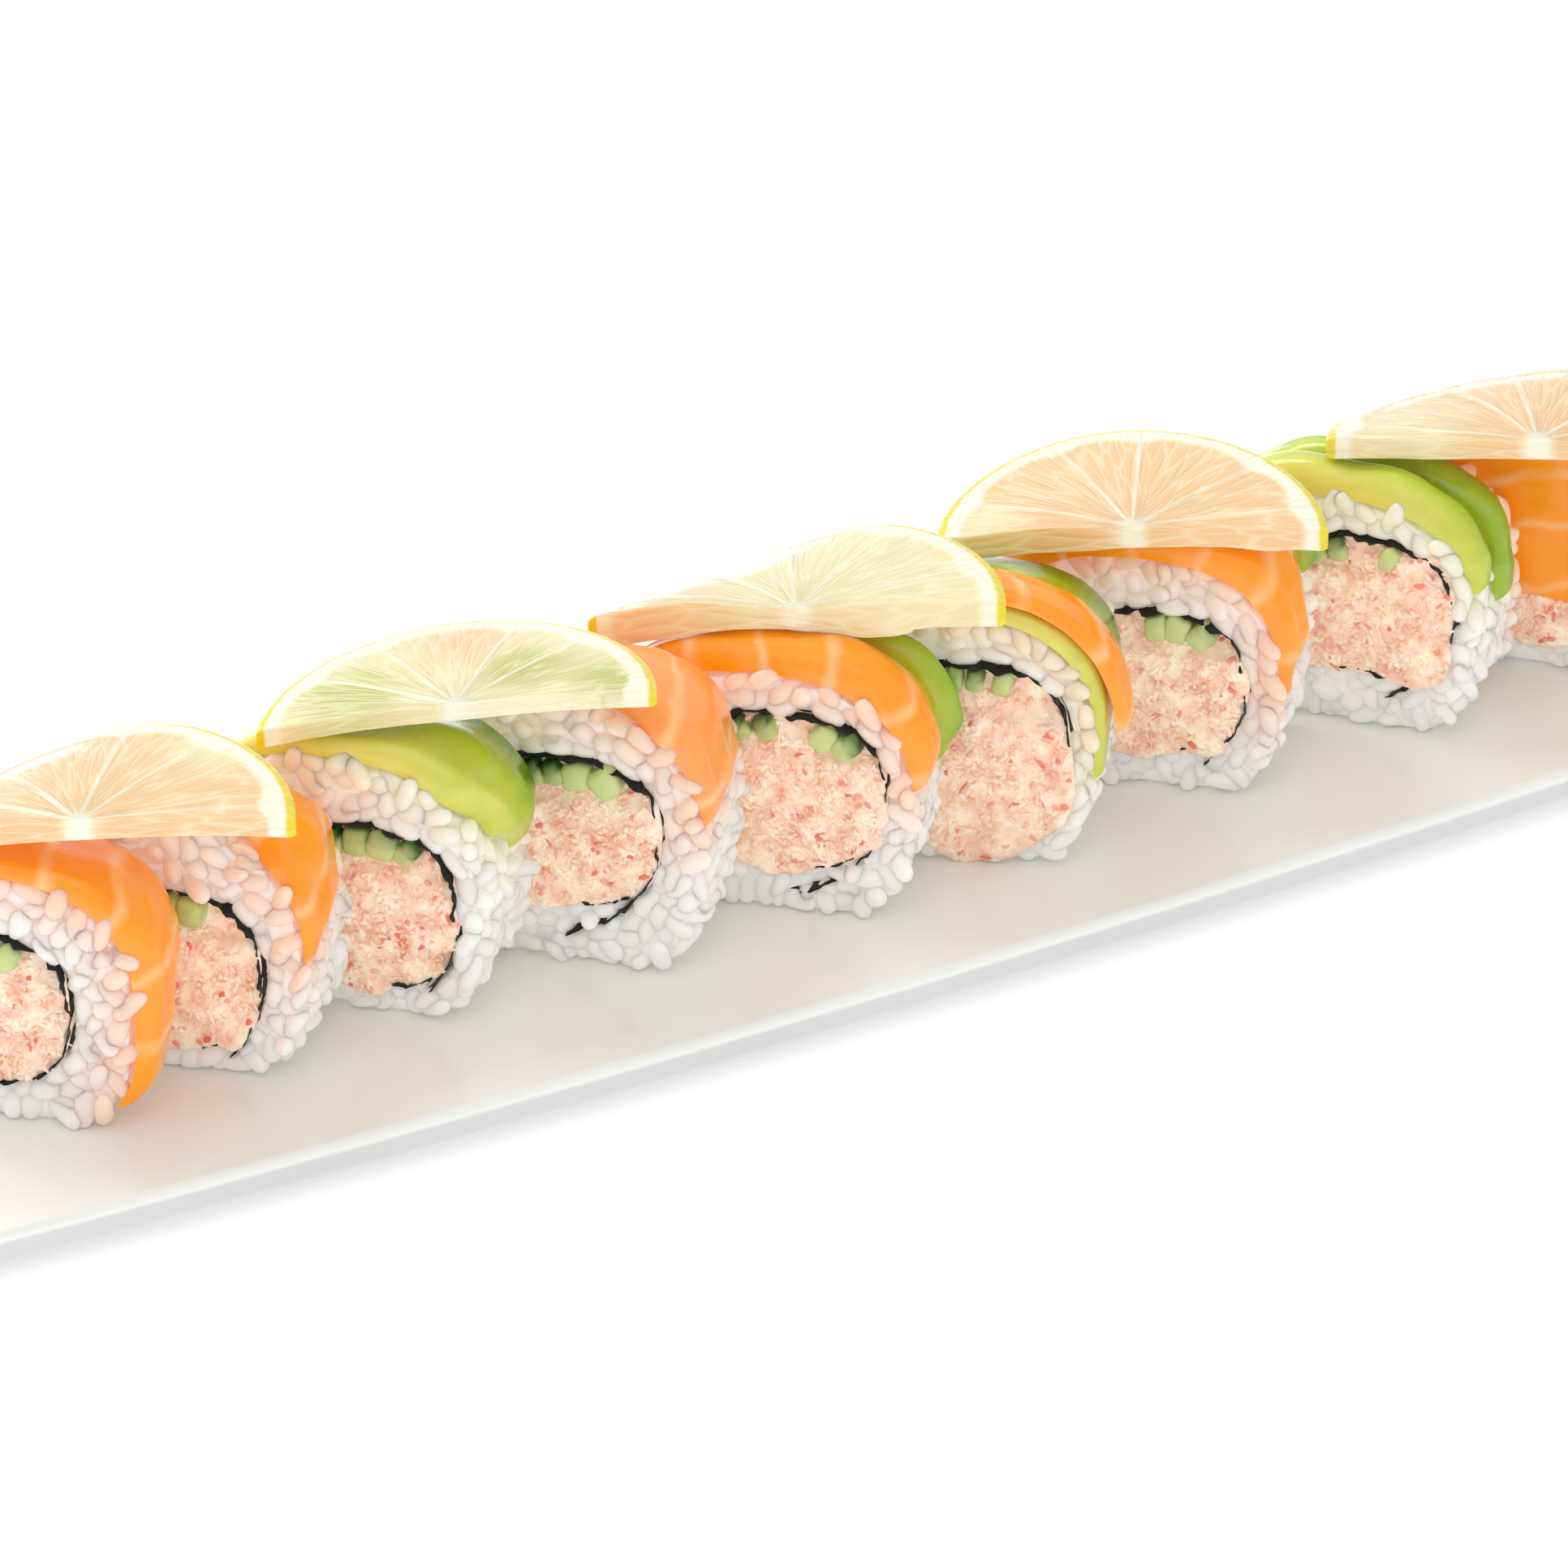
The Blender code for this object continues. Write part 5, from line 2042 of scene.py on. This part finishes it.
@dataclass(frozen=True)
class Studio:
    """A pale floor, soft lights and the camera, which looks down a little from the front left."""

    azimuth: float = 30.5
    elevation: float = 29.0
    distance: float = 1.2
    lens: float = 192.3
    room: float = 0.77
    aim: tuple[float, float, float] = (-0.00207, -0.00328, 0.0212)

    def floor(self) -> None:
        """Makes the floor, a white paper lit through from below, so that it stays white under the dish."""
        bpy.ops.object.select_all(action="DESELECT")
        bpy.ops.mesh.primitive_plane_add(size=6.0, location=(0, 0, -0.0002))
        made = bpy.context.object
        made.name = "floor"
        material, _tree, shader = start_material("matt white paper")
        set_inputs(
            shader,
            {"Base Color": srgb("#FCFCFC"), "Emission Color": srgb("#FFFFFF"), "Emission Strength": 0.3,
             "Roughness": 0.9, "Specular IOR Level": 0.1},
        )
        made.data.materials.append(material)

    def light(
        self, name: str, place: tuple[float, float, float], size: float, power: float, colour: str
    ) -> None:
        """Adds a soft box that faces the dish.

        Args:
            name: Its name.
            place: Where it stands.
            size: Its side.
            power: Its power in watts.
            colour: Its sRGB colour.
        """
        bpy.ops.object.select_all(action="DESELECT")
        bpy.ops.object.light_add(type="AREA", location=place)
        made = bpy.context.object
        made.name = name
        made.data.shape = "SQUARE"
        made.data.size = size
        made.data.energy = power
        made.data.color = srgb(colour)[:3]
        made.rotation_euler = (Vector((0, 0, 0.02)) - Vector(place)).to_track_quat("-Z", "Y").to_euler()

    def world(self, strength: float) -> None:
        """Fills the room with even white light.

        Args:
            strength: The background's strength.
        """
        world = bpy.data.worlds.new("white room")
        world.use_nodes = True
        background = world.node_tree.nodes["Background"]
        background.inputs["Color"].default_value = srgb("#FFFFFF")
        background.inputs["Strength"].default_value = strength
        bpy.context.scene.world = world

    def camera(self) -> None:
        """Places the camera at the photograph's view."""
        turn, lift = math.radians(self.azimuth), math.radians(self.elevation)
        back = Vector((-math.sin(turn) * math.cos(lift), -math.cos(turn) * math.cos(lift), math.sin(lift)))
        bpy.ops.object.select_all(action="DESELECT")
        bpy.ops.object.camera_add(location=Vector(self.aim) + back * self.distance)
        made = bpy.context.object
        made.rotation_euler = back.to_track_quat("Z", "Y").to_euler()
        made.data.lens = self.lens
        made.data.sensor_width = 36.0
        made.data.clip_start = 0.01
        bpy.context.scene.camera = made

    def build(self) -> None:
        """Builds the studio."""
        self.floor()
        self.world(self.room)
        self.light("window behind", (-0.35, 0.8, 1.0), 0.7, 8.5, "#FFFFFF")
        self.light("front fill", (-0.5, -0.6, 1.1), 0.9, 1.4, "#FFFDF8")
        self.camera()
        bpy.context.scene.view_settings.view_transform = "Standard"
        LOG.info("studio built")


def build_slices(frame: dict, cover_trees: dict[Cover, BVHTree], lids: BVHTree) -> None:
    """Builds every slice's rice, nori, crab salad and cucumber.

    Args:
        cover_trees: The fish and the fruit.
        lids: What lies on the rice.
    """
    grain_ball = base_blob("grain start", 10, 7)
    shred_ball = base_blob("shred start", 6, 4)
    # The core's painted glow is stronger than the grains', and its painted salmon light paler.
    core = CookedRice("cooked rice core", "#FBFAF7", "#F8F6F1", "#FBEAE2", painted_glow=0.21)
    rice = (CookedRice("cooked rice grain").material(), core.material())
    nori, crab, cucumber = RoastedNori().material(), CrabSalad().material(), CucumberFlesh().material()
    for piece in SLICES:
        RiceBed(piece).build(frame, lids, cover_trees, grain_ball, rice)
        NoriWrap(piece).build(frame, nori)
        CrabFilling(piece).build(frame, shred_ball, crab)
        CucumberSticks(piece).build(cucumber)


def main() -> None:
    """Builds the dish and its studio."""
    logging.basicConfig(level=logging.INFO, format="%(name)s %(message)s")
    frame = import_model()
    nodes = frame["nodes"]
    salmon = [node for name, node in nodes.items() if name.startswith("salmon")]
    avocado = [node for name, node in nodes.items() if name.startswith("avocado")]
    rice = [node for name, node in nodes.items() if name.startswith("rice")]
    tints = {Cover.SALMON: solid_tree(salmon), Cover.AVOCADO: solid_tree(avocado)}
    lids = solid_tree(salmon + avocado)
    LongPlate().build(frame, GlazedPorcelain())
    build_slices(frame, tints, lids)
    strip_materials = {Cover.SALMON: RawSalmon().material(), Cover.AVOCADO: RipeAvocado().material()}
    for number, strip in enumerate(STRIPS):
        strip.build(strip_materials, number)
    HangingSalmon().build(strip_materials[Cover.SALMON])
    lemon_material = LemonSlice().material()
    rest = solid_tree(salmon + avocado + rice)
    for half in LEMONS:
        half.build(frame, rest, lemon_material)
    LOG.info("%d strips and %d lemon halves", len(STRIPS) + 1, len(LEMONS))
    Studio().build()


if __name__ == "__main__":
    main()
